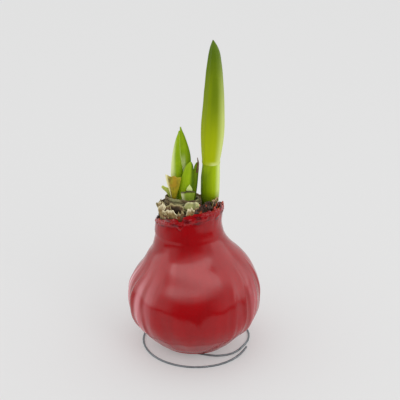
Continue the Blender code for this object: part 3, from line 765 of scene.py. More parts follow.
@dataclass
class WaxCoat:
    """The wax coat: a shell from the base up to the torn rim, and back down inside."""

    sides: int = 288
    base: float = 3.4
    wall: float = 2.0
    ring_step: float = 1.15
    neck_start: float = 80.0
    neck_lower: float = 84.0
    neck_bore: float = 20.1
    neck_rows: int = 12
    lip_rows: int = 12
    rim: float = 97.5
    rim_tilt: float = 7.5
    high_side: float = -48.0
    rim_wall: float = 1.0
    lip: float = 4.4
    lip_tilt: float = 2.9
    flare_right: float = 1.6
    flare_left: float = -0.8
    notch_azimuth: float = -103.0
    notch_depth: float = 2.6
    shards: tuple[float, ...] = (-40.0, -22.0, -6.0)
    shard_height: float = 2.2
    tear: float = 0.7
    flutes: int = 16
    flute_depth: float = 0.45
    flute_sweep: float = 0.55
    flute_middle: float = 26.0
    flute_reach: float = 24.0
    skin_inset: float = 0.25
    lump: float = 0.35
    lump_size: float = 17.0
    rib_count: int = 40
    rib_seed: int = 7
    rib_jitter: float = 3.5
    rib_strength: float = 0.8
    rib_inset: float = 0.2
    rib_swing: float = 0.12
    # Painted sheen: pale streaks down the sides of the wax, stronger on the left, stand in for reflections.
    painted_sheen_sides: Window = (30.0, 80.0)
    painted_sheen_right: float = 0.3
    painted_sheen_streaks: Window = (-0.25, 0.45)
    painted_sheen_foot: Window = (4.0, 14.0)
    painted_sheen_top: Window = (42.0, 68.0)
    bore_top_in_lip: float = 0.8
    # Painted shade on the bore inside the neck.
    bore_painted_shade: float = 0.4
    grain_radius: float = 45.0
    inner_heights: tuple[float, ...] = (76.0, 69.0, 60.0, 50.0, 39.0, 28.0, 19.0, 11.0)
    inner_base_radius: float = 25.0
    outline: Curve = curve(
        (3.4, 25.5), (7.5, 30.2), (13, 35.2), (20, 40.8), (28, 44.2), (36, 45), (44, 44.2), (52, 41.3),
        (59.5, 36.8), (66, 32.3), (71, 28.2), (76, 25.4), (82, 23.3), (92, 22.2), (108, 22.1),
    )
    axis_x: Curve = curve((40, 0), (50, 0.4), (59, 1.3), (69, -0.1), (79, -2.5), (93, -3.9), (108, -3.9))
    lip_profile: Curve = curve((0, 0.4), (0.12, 0.15), (0.35, -0.1), (0.7, 0.05), (1, 0.4))

    def make_ribs(self) -> list[Rib]:
        """Return folds set round the bulb at uneven steps, stronger at the sides and back."""
        draw = random.Random(self.rib_seed)
        ribs = []
        for index in range(self.rib_count):
            azimuth = 360.0 * index / self.rib_count + draw.uniform(-self.rib_jitter, self.rib_jitter)
            sideness = 0.12 + 0.88 * ramp(22.0, 60.0, azimuth_gap(azimuth, FRONT))
            rise = draw.uniform(0.35, 1.15) * sideness
            half_width = draw.uniform(3.0, 7.0)
            low = draw.uniform(2.0, 12.0)
            high = draw.uniform(44.0, 74.0)
            ribs.append(Rib(azimuth, half_width, rise, low, high))
        return ribs

    def rim_at(self, azimuth: float) -> float:
        """Return the torn rim's height."""
        height = self.rim + self.rim_tilt * math.cos(math.radians(azimuth - self.high_side))
        teeth = ragged(azimuth, 30.0, 1.3) + ragged(azimuth, 80.0, 5.1) + 0.6 * ragged(azimuth, 170.0, 2.7)
        height += self.tear * teeth
        height -= self.notch_depth * (1.0 - ramp(2.0, 7.0, azimuth_gap(azimuth, self.notch_azimuth)))
        for shard in self.shards:
            height += self.shard_height * (1.0 - ramp(0.3, 5.0, azimuth_gap(azimuth, shard)))
        return height

    def lip_at(self, azimuth: float) -> float:
        """Return the height of the lip above its crease."""
        return self.lip + self.lip_tilt * math.cos(math.radians(azimuth - self.high_side))

    def point(self, azimuth: float, height: float, outwards: float) -> Vector:
        """Return a point of the coat, moved out from its plain outline."""
        return around(azimuth, self.outline.at(height) + outwards, height, self.axis_x.at(height))

    def skin_relief(self, azimuth: float, height: float, ribs: Sequence[Rib]) -> float:
        """Return how far the wax stands out over flutes, folds and lumps.

        Args:
            azimuth: Where round the bulb.
            height: Height above the floor.
            ribs: The folds.

        Returns:
            Millimetres outwards, mostly below 0.
        """
        strength = 1.0 - ramp(0.3, 1.0, abs(height - self.flute_middle) / self.flute_reach)
        phase = math.radians(self.flutes * (azimuth + self.flute_sweep * (height - self.flute_middle)))
        relief = -self.flute_depth * strength * (0.5 + 0.5 * math.cos(phase)) - self.skin_inset
        swung = azimuth + self.rib_swing * (height - 40.0) * math.sin(math.radians(azimuth * 3.0))
        relief += sum(rib.at(swung, height) for rib in ribs) * self.rib_strength - self.rib_inset
        spot = self.point(azimuth, height, 0.0) / self.lump_size
        return relief + self.lump * noise.noise(spot)

    def flare(self, azimuth: float, height: float, rim: float) -> float:
        """Return how far the neck opens out, most at the right of the rim."""
        rightness = 0.5 + 0.5 * math.cos(math.radians(azimuth))
        most = self.flare_left + (self.flare_right - self.flare_left) * rightness
        return most * ramp(0.35, 1.0, (height - self.neck_start) / (rim - self.neck_start))

    def crumple(self, azimuth: float, height: float) -> float:
        """Return the lip's wrinkles, which run mostly round it."""
        spot = self.point(azimuth, height, 0.0)
        wrinkles = noise.noise(Vector((spot.x / 4.5, spot.y / 4.5, spot.z / 1.3)))
        return 0.55 * wrinkles + 0.3 * noise.noise(spot / 1.4)

    def lay(self, azimuth: float, place: Vector, dark: float = 0.0, warm: float = 0.0) -> Lay:
        """Return a lay whose grain runs down the bulb, with a painted sheen of pale streaks at the sides,
        stronger on the left.
        """
        grain = around(azimuth, self.grain_radius, place.z)
        # Painted sheen at the sides, stronger on the left.
        side = ramp(*self.painted_sheen_sides, azimuth_gap(azimuth, FRONT))
        leftness = ramp(0.0, 0.8, -math.cos(math.radians(azimuth)))
        strength = self.painted_sheen_right + (1.0 - self.painted_sheen_right) * leftness
        streak = ramp(*self.painted_sheen_streaks, ragged(azimuth, 60.0, 2.0 + place.z / 60.0))
        reach = ramp(*self.painted_sheen_foot, place.z) * (1.0 - ramp(*self.painted_sheen_top, place.z))
        return Lay(place, grain, side * strength * streak * reach, dark, warm)

    def outer_rings(self) -> list[list[Lay]]:
        """Return the rings up the outside, to the foot of the neck."""
        ribs = self.make_ribs()
        rings = []
        count = round((self.neck_lower - self.base) / self.ring_step)
        for row in range(count):
            height = self.base + (self.neck_lower - self.base) * row / count
            ring = []
            for azimuth in azimuths(self.sides):
                out = self.skin_relief(azimuth, height, ribs)
                if height > self.neck_start:
                    out += self.flare(azimuth, height, self.rim_at(azimuth))
                ring.append(self.lay(azimuth, self.point(azimuth, height, out)))
            rings.append(ring)
        return rings

    def neck_rings(self) -> list[list[Lay]]:
        """Return the rings of the neck, its lip and its torn edge."""
        rings = []
        for row in range(self.neck_rows):
            share = row / self.neck_rows
            ring = []
            for azimuth in azimuths(self.sides):
                rim = self.rim_at(azimuth)
                height = self.neck_lower + (rim - self.lip_at(azimuth) - self.neck_lower) * share
                spot = self.point(azimuth, height, self.flare(azimuth, height, rim) - self.skin_inset)
                # Painted shade: the neck darkens just under the lip's crease.
                ring.append(self.lay(azimuth, spot, 0.12 * ramp(0.8, 1.0, share)))
            rings.append(ring)
        for row in range(self.lip_rows + 1):
            share = row / self.lip_rows
            inset = self.lip_profile.at(share)
            rings.append([self.lip_lay(azimuth, share, inset) for azimuth in azimuths(self.sides)])
        rings.append([self.lip_lay(azimuth, 1.0, self.rim_wall) for azimuth in azimuths(self.sides)])
        return rings

    def lip_lay(self, azimuth: float, share: float, inset: float) -> Lay:
        """Return a lay of the lip.

        Args:
            azimuth: Where round the rim.
            share: How far up the lip, from its crease to the torn edge.
            inset: How far in from the neck's outline.

        Returns:
            The lay, with painted shade in the crease, darker where the wax is bruised or charred, and a
            painted glow at the torn edge.
        """
        rim = self.rim_at(azimuth)
        height = rim - self.lip_at(azimuth) * (1.0 - share)
        wrinkle = self.crumple(azimuth, height) * ramp(0.0, 0.25, share)
        out = self.flare(azimuth, height, rim) - inset + wrinkle
        spot = self.point(azimuth, height, 0.0)
        bruise = ramp(0.0, 0.35, noise.noise(Vector((spot.x / 5.0, spot.y / 5.0, spot.z / 2.0))))
        burnt = ramp(0.75, 1.0, share) * ramp(0.0, 0.3, ragged(azimuth, 50.0, 3.3))
        charred = 0.9 * burnt * (1.0 - ramp(25.0, 60.0, azimuth_gap(azimuth, -10.0)))
        charred = max(charred, 0.9 * burnt * (1.0 - ramp(20.0, 40.0, azimuth_gap(azimuth, 190.0))))
        # Painted shade: darker in the lip's crease, where shade falls.
        crease = 0.45 * (1.0 - ramp(0.02, 0.16, share)) * ramp(-0.3, 0.3, ragged(azimuth, 14.0, 6.0))
        # Painted glow: orange at the torn edge, standing in for light shining through the thin wax.
        warm = 0.8 * ramp(0.8, 1.0, share) * ramp(0.1, 0.4, ragged(azimuth, 40.0, 4.4))
        dark = max(crease, 0.65 * bruise, charred)
        return self.lay(azimuth, self.point(azimuth, height, out), dark, warm)

    def inner_rings(self) -> list[list[Lay]]:
        """Return the rings down the inside, with painted shade on the bore."""
        turns = azimuths(self.sides)
        tops = [self.rim_at(a) - self.bore_top_in_lip * self.lip_at(a) for a in turns]
        rings = []
        for heights in (tops, [self.neck_lower] * self.sides):
            bore = [around(a, self.neck_bore, height, NECK_X) for a, height in zip(turns, heights)]
            # Painted shade darkens the bore.
            rings.append([self.lay(a, spot, self.bore_painted_shade) for a, spot in zip(turns, bore)])
        for height in self.inner_heights:
            rings.append([self.lay(a, self.point(a, height, -self.wall)) for a in turns])
        floor = self.base + self.wall
        rings.append([self.lay(a, around(a, self.inner_base_radius, floor)) for a in turns])
        return rings

    def build(self, dresser: Dresser) -> None:
        """Extrude the coat ring by ring."""
        rings = self.outer_rings() + self.neck_rings() + self.inner_rings()
        thing = make_tube("wax_skin", rings, Ends.CAPPED)
        face_outwards(thing, Vector((0.0, 0.0, 4.4)))
        smooth(thing, 0, 40.0)
        dresser.enrol(thing, DIPPED_WAX, "wax_coat")


@dataclass
class Stem:
    """The flower stalk and the closed bud on it: round fleshy columns with soft ridges."""

    y: float = 3.0
    sides: int = 72
    stalk: tuple[tuple[float, float, float, float], ...] = (
        (101.3, 10.3, 5.3, 4.7), (106, 10.4, 5.8, 5.1), (112, 10.5, 6.1, 5.4), (119, 10.6, 6.1, 5.4),
        (125, 10.9, 5.8, 5.2), (129.6, 11.1, 5.6, 5.0),
    )
    bud: tuple[tuple[float, float, float, float], ...] = (
        (129.6, 11.1, 5.75, 5.15), (130.4, 11.1, 5.95, 5.35), (131.4, 11.1, 5.85, 5.25),
        (136, 11.3, 6.3, 5.6),
        (142, 11.6, 6.9, 6.0), (149, 11.9, 7.4, 6.3), (156, 12.1, 7.5, 6.4), (163, 12.3, 7.2, 6.2),
        (170, 12.5, 6.8, 5.8), (177, 12.6, 6.4, 5.4), (184, 12.7, 5.8, 4.9), (191, 12.7, 5.2, 4.4),
        (197, 12.7, 4.4, 3.8), (202, 12.7, 3.6, 3.1), (206, 12.5, 2.4, 2.1), (209, 12.2, 1.0, 0.9),
        (210.3, 12.0, 0.3, 0.3),
    )
    seam_azimuth: float = -128.0
    seam_step: float = 0.35
    ridge: float = 0.16
    ridges: int = 9
    ring_step: float = 0.9
    grain_radius: float = 6.0
    relief_from: float = 4.0

    def column(
        self,
        name: str,
        sections: Sequence[tuple[float, float, float, float]],
        relief: Callable[[float, float], float],
        tones: Callable[[float, float], tuple[float, float, float]],
    ) -> bpy.types.Object:
        """Extrude an oval column through its sections.

        Args:
            name: The piece's name.
            sections: (height, middle x, half width, half depth), from the foot up.
            relief: Gives the extra radius at an azimuth and a height.
            tones: Gives (pale, dark, warm) at an azimuth and a height.

        Returns:
            The column, capped.
        """
        middle, across, depth = (curve(*((s[0], s[i]) for s in sections)) for i in (1, 2, 3))
        low, high = sections[0][0], sections[-1][0]
        count = round((high - low) / self.ring_step)
        rings = []
        for row in range(count + 1):
            height = low + (high - low) * row / count
            ring = []
            for azimuth in azimuths(self.sides):
                extra = relief(azimuth, height) * ramp(0.0, self.relief_from, across.at(height))
                unit = around(azimuth, 1.0, 0.0)
                x = middle.at(height) + (across.at(height) + extra) * unit.x
                y = self.y + (depth.at(height) + extra) * unit.y
                grain = around(azimuth, self.grain_radius, height)
                ring.append(Lay(Vector((x, y, height)), grain, *tones(azimuth, height)))
            rings.append(ring)
        thing = make_tube(name, rings, Ends.CAPPED)
        face_outwards(thing, Vector((middle.at(low), self.y, (low + high) / 2)))
        smooth(thing, 0)
        return thing

    def bud_relief(self, azimuth: float, height: float) -> float:
        """Return the bud's ridges and the edge where one bract laps over the other."""
        turned = azimuth - self.seam_azimuth - 0.25 * (height - 170.0)
        lap = ((turned + 360.0) % 360.0) / 360.0
        step = self.seam_step * (1.0 - ramp(0.0, 0.5, lap)) * ramp(0.0, 0.02, lap)
        fade = ramp(130.0, 140.0, height)
        soft = noise.noise(Vector((azimuth / 40.0, height / 30.0, 2.0)))
        ridge = self.ridge * math.cos(math.radians(self.ridges * turned))
        return fade * (step - self.seam_step / 2 + ridge + 0.15 * soft)

    def bud_tones(self, azimuth: float, height: float) -> tuple[float, float, float]:
        """Return (pale, dark, warm): a painted highlight down the right side, a pale joint, a green tip and
        middle, a yellow foot.
        """
        # Painted highlight: the right side is paler, most towards the foot, as if lit from the right.
        rightness = 1.0 - ramp(12.0, 58.0, azimuth_gap(azimuth, -18.0))
        low = 1.0 - ramp(140.0, 196.0, height)
        pale = rightness * (0.25 + 0.5 * low)
        notched = ramp(-0.35, 0.25, ragged(azimuth, 7.0, 5.0))
        frontness = 1.0 - ramp(30.0, 70.0, azimuth_gap(azimuth, -70.0))
        joint = (1.0 - ramp(130.6, 132.6, height)) * notched * frontness
        stripe = 1.0 - ramp(8.0, 30.0, azimuth_gap(azimuth, -84.0))
        middle = 0.35 * stripe * ramp(150.0, 175.0, height)
        tip = 0.8 * ramp(180.0, 207.0, height)
        warm = 0.95 * (1.0 - ramp(130.0, 186.0, height))
        return max(0.75 * joint, pale), max(middle, tip), warm

    def stalk_relief(self, azimuth: float, height: float) -> float:
        """Return the stalk's faint ridges."""
        return 0.08 * math.cos(math.radians(13.0 * azimuth)) + 0.12 * ragged(azimuth, 9.0, height / 30.0)

    def stalk_tones(self, azimuth: float, height: float) -> tuple[float, float, float]:
        """Return (pale, dark, warm): a painted highlight down the right side, a yellow-green middle, and
        painted shade at the foot and on the left.
        """
        # Painted highlight down the right side; painted shade on the left and at the foot.
        pale = 0.85 * (1.0 - ramp(12.0, 50.0, azimuth_gap(azimuth, -15.0)))
        left = 0.12 * (1.0 - ramp(10.0, 50.0, azimuth_gap(azimuth, -160.0)))
        foot = 0.5 * (1.0 - ramp(103.0, 113.0, height))
        warm = 0.8 * (1.0 - ramp(0.0, 75.0, azimuth_gap(azimuth, -52.0)))
        return pale * (1.0 - foot), max(left, foot), max(warm, 0.5 * ramp(120.0, 129.0, height))

    def build(self, dresser: Dresser) -> None:
        """Extrude the stalk and the bud."""
        thing = self.column("stalk_column", self.stalk, self.stalk_relief, self.stalk_tones)
        dresser.enrol(thing, STALK_SKIN, "flower_stalk")
        thing = self.column("closed_spathe", self.bud, self.bud_relief, self.bud_tones)
        dresser.enrol(thing, SPATHE_SKIN, "flower_bud")


@dataclass
class NeckStump:
    """The neck's cut top: torn leaf bases in steps round a pocket."""

    x: float = -7.4
    y: float = -1.5
    sides: int = 144
    steps: tuple[tuple[float, float, float], ...] = (
        (105.6, 12.0, 11.3), (108.0, 11.7, 10.7), (110.2, 11.3, 10.1),
    )
    pocket: tuple[float, float] = (10.0, 8.9)
    pocket_floor: float = 103.0
    ledge: float = 0.5
    slant: tuple[float, float] = (0.01, 0.019)
    rough: float = 0.55

    def outline(self) -> list[tuple[float, float, float, float]]:
        """Return (height, half width, half depth, darkness) up the outside and down into the pocket; the
        darkness is black in the grooves between strata and painted shade at the foot and deepening into the
        pocket.
        """
        points = [(SEAT, *self.steps[0][1:], 0.6)]
        for index, (top, across, depth) in enumerate(self.steps):
            points.append((top - 1.6, across - 0.1, depth - 0.1, 0.1))
            points.append((top, across - 0.1, depth - 0.1, 0.3))
            if index + 1 < len(self.steps):
                across, depth = self.steps[index + 1][1:]
                points.append((top - self.ledge, across - 0.5, depth - 0.5, 1.0))
                points.append((top - self.ledge + 0.7, across, depth, 0.5))
        top, across, depth = self.steps[-1]
        points.append((top - 0.1, (across + self.pocket[0]) / 2, (depth + self.pocket[1]) / 2, 0.2))
        points.append((top - self.ledge, *self.pocket, 0.4))
        points.append((top - 3.0, *self.pocket, 0.9))
        points.append((self.pocket_floor, *self.pocket, 1.0))
        return points

    def lay(self, index: int, azimuth: float, outline: Sequence[tuple[float, float, float, float]]) -> Lay:
        """Return one lay of the stump.

        Args:
            index: Its ring.
            azimuth: Where round the stump.
            outline: The stump's outline.

        Returns:
            The lay, greenish on the strata, dark in the grooves between them, with painted shade at the foot
            and deep in the pocket.
        """
        height, across, depth, dark = outline[index]
        outside = 0 < index < len(outline) - 4
        wrinkle = 0.22 * ragged(azimuth, 30.0, height / 1.5) if outside else 0.0
        unit = around(azimuth, 1.0, 0.0)
        x = (across + wrinkle) * unit.x
        y = (depth + wrinkle) * unit.y
        z = height
        if 0 < index < len(outline) - 1:
            lost = self.slant[0] * x + self.slant[1] * (y + self.steps[0][2])
            teeth = ragged(azimuth, 16.0, 3.0) + 0.6 * ragged(azimuth, 60.0, float(index // 3))
            tear = self.rough * teeth * ramp(SEAT, 105.0, height)
            z = SEAT + (height - SEAT) * (1.0 - lost) + tear
        green = 0.8 * ramp(-0.1, 0.35, ragged(azimuth, 8.0, 6.0 + index // 4))
        # Dark in the grooves between strata; painted shade at the foot and deepening into the pocket.
        dark_grooves_and_pocket_shade = dark * (0.75 + 0.5 * ragged(azimuth, 20.0, 9.0))
        grain = around(azimuth, self.steps[0][1], height * 1.5)
        return Lay(Vector((self.x + x, self.y + y, z)), grain, green * (1.0 - dark_grooves_and_pocket_shade), dark_grooves_and_pocket_shade)

    def build(self, dresser: Dresser) -> None:
        """Extrude the stump up its outside and down into its pocket."""
        outline = self.outline()
        turns = azimuths(self.sides)
        rings = [[self.lay(index, azimuth, outline) for azimuth in turns] for index in range(len(outline))]
        thing = make_tube("cut_neck", rings, Ends.CAPPED)
        face_outwards(thing, Vector((self.x, self.y, (SEAT + self.pocket_floor) / 2)))
        smooth(thing, 1, 60.0)
        dresser.enrol(thing, CUT_STRATA, "neck_stump")


@dataclass
class TunicSkin:
    """The papery skin that still wraps the neck inside the rim."""

    radius: float = 18.4
    bottom: float = 86.3
    top: float = 102.4
    sides: int = 200
    rows: int = 16
    tear: float = 1.1
    fold: float = 0.25
    wall: float = 0.5
    dips: tuple[tuple[float, float, float, float], ...] = (
        (5.0, 35.0, 62.0, 2.2), (-85.0, 30.0, 60.0, 1.2),
    )

    def top_at(self, azimuth: float) -> float:
        """Return the height of the torn edge."""
        height = self.top + self.tear * (ragged(azimuth, 30.0, 2.0) + 0.6 * ragged(azimuth, 80.0, 7.0))
        for centre, near, far, depth in self.dips:
            height -= depth * (1.0 - ramp(near, far, azimuth_gap(azimuth, centre)))
        return height

    def lay(self, azimuth: float, share: float) -> Lay:
        """Return the lay at an azimuth and a share of the height: pale in patches, shaded below."""
        height = self.bottom + share * (self.top_at(azimuth) - self.bottom)
        fold = self.fold * ragged(azimuth, 40.0, height / 9.0) * ramp(0.3, 0.8, share)
        place = around(azimuth, self.radius + fold, height, NECK_X)
        pale = 0.8 * ramp(-0.2, 0.4, ragged(azimuth, 9.0, 1.0))
        dark = 0.6 * (1.0 - ramp(0.5, 0.9, share))
        return Lay(place, around(azimuth, 18.0, height), pale, dark)

    def build(self, dresser: Dresser) -> None:
        """Extrude the skin and give it its thickness."""
        turns = azimuths(self.sides)
        rings = [[self.lay(azimuth, row / self.rows) for azimuth in turns] for row in range(self.rows + 1)]
        thing = make_tube("neck_tunic", rings, Ends.OPEN)
        face_outwards(thing, Vector((NECK_X, 0.0, (self.bottom + self.top) / 2)))
        give_wall(thing, self.wall, 1.0)
        smooth(thing, 0, 60.0)
        dresser.enrol(thing, BROWN_TUNIC, "tunic_ring")


@dataclass(frozen=True)
class Patch:
    """A patch of tone on a blade.

    Each window is a pair: the patch fades in smoothly from the first place to the second, whichever of
    them is the greater. The windows multiply.

    Attributes:
        strength: What the patch adds where all its windows are full.
        across: Window from the left edge at -1 to the right edge at 1.
        until: A second such window, which closes the patch on its other side.
        aside: Window from the middle line at 0 to both edges at 1.
        share: Window along the blade, from its foot at 0 to its end at 1.
        spots: Scale across, scale along and seed of a noise that breaks the patch up.
        spotted: Window of that noise.
        least: The tone where the patch has faded out.
    """

    strength: float
    across: Window | None = None
    until: Window | None = None
    aside: Window | None = None
    share: Window | None = None
    spots: tuple[float, float, float] | None = None
    spotted: Window = (-0.1, 0.3)
    least: float = 0.0

    def at(self, across: float, share: float) -> float:
        """Return the patch's tone at a place on the blade."""
        tone = self.strength
        for window, value in (
            (self.across, across),
            (self.until, across),
            (self.aside, abs(across)),
            (self.share, share),
        ):
            if window:
                tone *= ramp(*window, value)
        if self.spots:
            wide, long, seed = self.spots
            tone *= ramp(*self.spotted, noise.noise(Vector((across * wide, share * long, seed))))
        return self.least + tone


def strongest(patches: Sequence[Patch], across: float, share: float) -> float:
    """Return the strongest tone of some patches at a place on a blade, or 0."""
    return max((patch.at(across, share) for patch in patches), default=0.0)


# Pale: down the left of the tall leaf and at its right margin; over the hollow face of the second tall leaf;
# over the new tip; at both margins of the short leaf; down a left margin; along a flake's torn edges.
LEFT_BAND = (Patch(0.85, across=(0.05, -0.75), share=(0.95, 0.6)), Patch(0.9, across=(0.86, 1.0)))
INNER_FACE = (Patch(0.9, across=(-0.9, -0.5), until=(0.3, -0.05), share=(0.68, 0.45)),)
MOSTLY_PALE = (Patch(0.7),)
SHORT_LEAF_PALE = (Patch(0.5, aside=(0.6, 1.0), least=0.25),)
LEFT_MARGIN = (Patch(1.0, across=(-0.35, -0.8)),)
TORN_EDGE = (Patch(0.9, share=(0.8, 1.0)), Patch(0.9, aside=(0.75, 1.0)))
# Dark: painted shade down the right of a leaf, over most of one and low on its right; in a faint strip; along
# a cut; in specks beside the sheath's cream margin, with painted shade towards its foot; painted shade in the
# fleshy scale's hollows, inside a cup and towards a foot.
RIGHT_SHADE = (Patch(0.8, across=(0.25, 0.75)),)
WHOLE_SHADE = (Patch(0.3, across=(0.0, 0.7), least=0.45),)
LOW_RIGHT_SHADE = (Patch(0.35, across=(0.3, 0.8), share=(0.7, 0.3)),)
RIGHT_STRIP = (Patch(0.45, across=(0.35, 0.8)),)
CUT_RIM = (Patch(0.9, share=(0.84, 0.97)),)
SPECKLED_EDGE = (
    Patch(0.8, across=(-0.64, -0.42), until=(-0.2, -0.42), spots=(4.0, 14.0, 0.0)),
    Patch(0.6, share=(0.3, 0.0)),
)
SCALE_SHADE = (Patch(0.6, spots=(1.8, 2.4, 3.0), spotted=(0.05, 0.4)),)
CUP_SHADE = (Patch(0.7, aside=(0.8, 0.3), share=(0.95, 0.7)),)
SHADED_FOOT = (Patch(0.7, share=(0.75, 0.35)),)
# Warm: yellow over the short leaf; orange stains on the sheath and on the flakes.
SHORT_LEAF_WARM = (Patch(0.6),)
SHEATH_GLOW = (Patch(0.6, spots=(1.6, 5.0, 4.0), spotted=(0.05, 0.35)),)
STAINED = (Patch(1.0, spots=(1.4, 3.0, 8.0), spotted=(-0.1, 0.25)),)


@dataclass
class Blade:
    """A leaf, a scale or a flake: a curved sheet that grows along a spine.

    Attributes:
        name: The piece's name.
        finish: Its finish.
        nodes: The solids that it stands for.
        spine: The middle line, by the share of its length.
        widths: Its width.
        facing: The azimuth that its outer face looks to.
        arc: How far it bends across, in degrees; below 0 it is hollow towards the front.
        thickness: Its thickness in the middle.
        pale: Patches of its finish's pale colour.
        dark: Patches of its dark colour.
        warm: Patches of its warm colour.
        keel: How far its midrib stands out.
        wave: How far its edges wave.
        waves: How many waves it has.
        tear: How ragged its end is.
        rag: How ragged its sides are, as a share of its width.
        crumple: How far it is crumpled all over.
        crumple_size: Size of the crumples.
        curl: How far its side edges curl back at the end.
        thin_edge: Share of the thickness left at the edge.
        rows: Faces along it.
        columns: Faces across it.
        seed: Seed of its tears and crumples.
    """

    name: str
    finish: Finish
    nodes: tuple[str, ...]
    spine: Curve
    widths: Curve
    facing: Curve
    arc: Curve
    thickness: float
    pale: tuple[Patch, ...] = ()
    dark: tuple[Patch, ...] = ()
    warm: tuple[Patch, ...] = ()
    keel: float = 0.0
    wave: float = 0.0
    waves: float = 2.0
    tear: float = 0.0
    rag: float = 0.0
    crumple: float = 0.0
    crumple_size: float = 5.0
    curl: float = 0.0
    thin_edge: float = 0.35
    rows: int = 28
    columns: int = 14
    seed: int = 1

    def offsets(self, width: float, arc: float, across: float, share: float) -> tuple[float, float]:
        """Return the sideways and outward offsets of the cross-section."""
        half = math.radians(arc) / 2
        if abs(half) < 0.01:
            sideways, outward = width / 2 * across, 0.0
        else:
            bend = width / 2 / math.sin(half)
            sideways = bend * math.sin(half * across)
            outward = bend * (math.cos(half * across) - 1.0)
        outward += self.keel * (1.0 - abs(across)) * (1.0 - share)
        return sideways, outward

    def lay(self, across: float, share: float) -> Lay:
        """Return one lay of the blade.

        Args:
            across: From -1 at its left edge to 1 at its right edge.
            share: From 0 at its foot to 1 at its end.

        Returns:
            The lay.
        """
        out = around(self.facing.at(share), 1.0, 0.0)
        side = around(self.facing.at(share) + 90.0, 1.0, 0.0)
        nick = noise.noise(Vector((share * 9.0, math.copysign(3.0, across), self.seed * 2.3)))
        width = self.widths.at(share) * (1.0 + self.rag * nick * ramp(0.2, 0.5, share))
        sideways, outward = self.offsets(width, self.arc.at(share), across, share)
        late = ramp(0.3, 0.8, share)
        outward += self.wave * abs(across) * math.sin(self.waves * math.tau * share + 2.0 * across) * late
        outward -= self.curl * across * across * ramp(0.45, 1.0, share)
        rough = Vector((across * width / 2, self.seed * 9.7, self.spine.at(share).z)) / self.crumple_size
        outward += self.crumple * noise.noise(rough) * ramp(0.1, 0.5, share)
        place = self.spine.at(share) + side * sideways + out * outward
        teeth = noise.noise(Vector((across * 1.8, self.seed * 3.1, 0.0)))
        teeth += 0.8 * noise.noise(Vector((across * 5.0, self.seed * 5.3, 1.0)))
        teeth += 0.25 * noise.noise(Vector((across * 11.0, self.seed * 7.7, 2.0)))
        place.z += self.tear * teeth * ramp(0.5, 1.0, share)
        grain = Vector((sideways, self.seed * 11.0, place.z))
        thick = 1.0 - across * across
        tones = (strongest(patches, across, share) for patches in (self.pale, self.dark, self.warm))
        return Lay(place, grain, *tones, thick)

    def build(self, dresser: Dresser) -> None:
        """Lay out the sheet, give it its thickness and smooth it."""
        places = [2.0 * column / self.columns - 1.0 for column in range(self.columns + 1)]
        lines = [[self.lay(across, row / self.rows) for across in places] for row in range(self.rows + 1)]
        thing = make_sheet(self.name, lines)
        face_outwards(thing, self.spine.at(0.5) - around(self.facing.at(0.5), 60.0, 0.0))
        give_wall(thing, self.thickness, self.thin_edge)
        smooth(thing, 1, 70.0)
        dresser.enrol(thing, self.finish, *self.nodes)


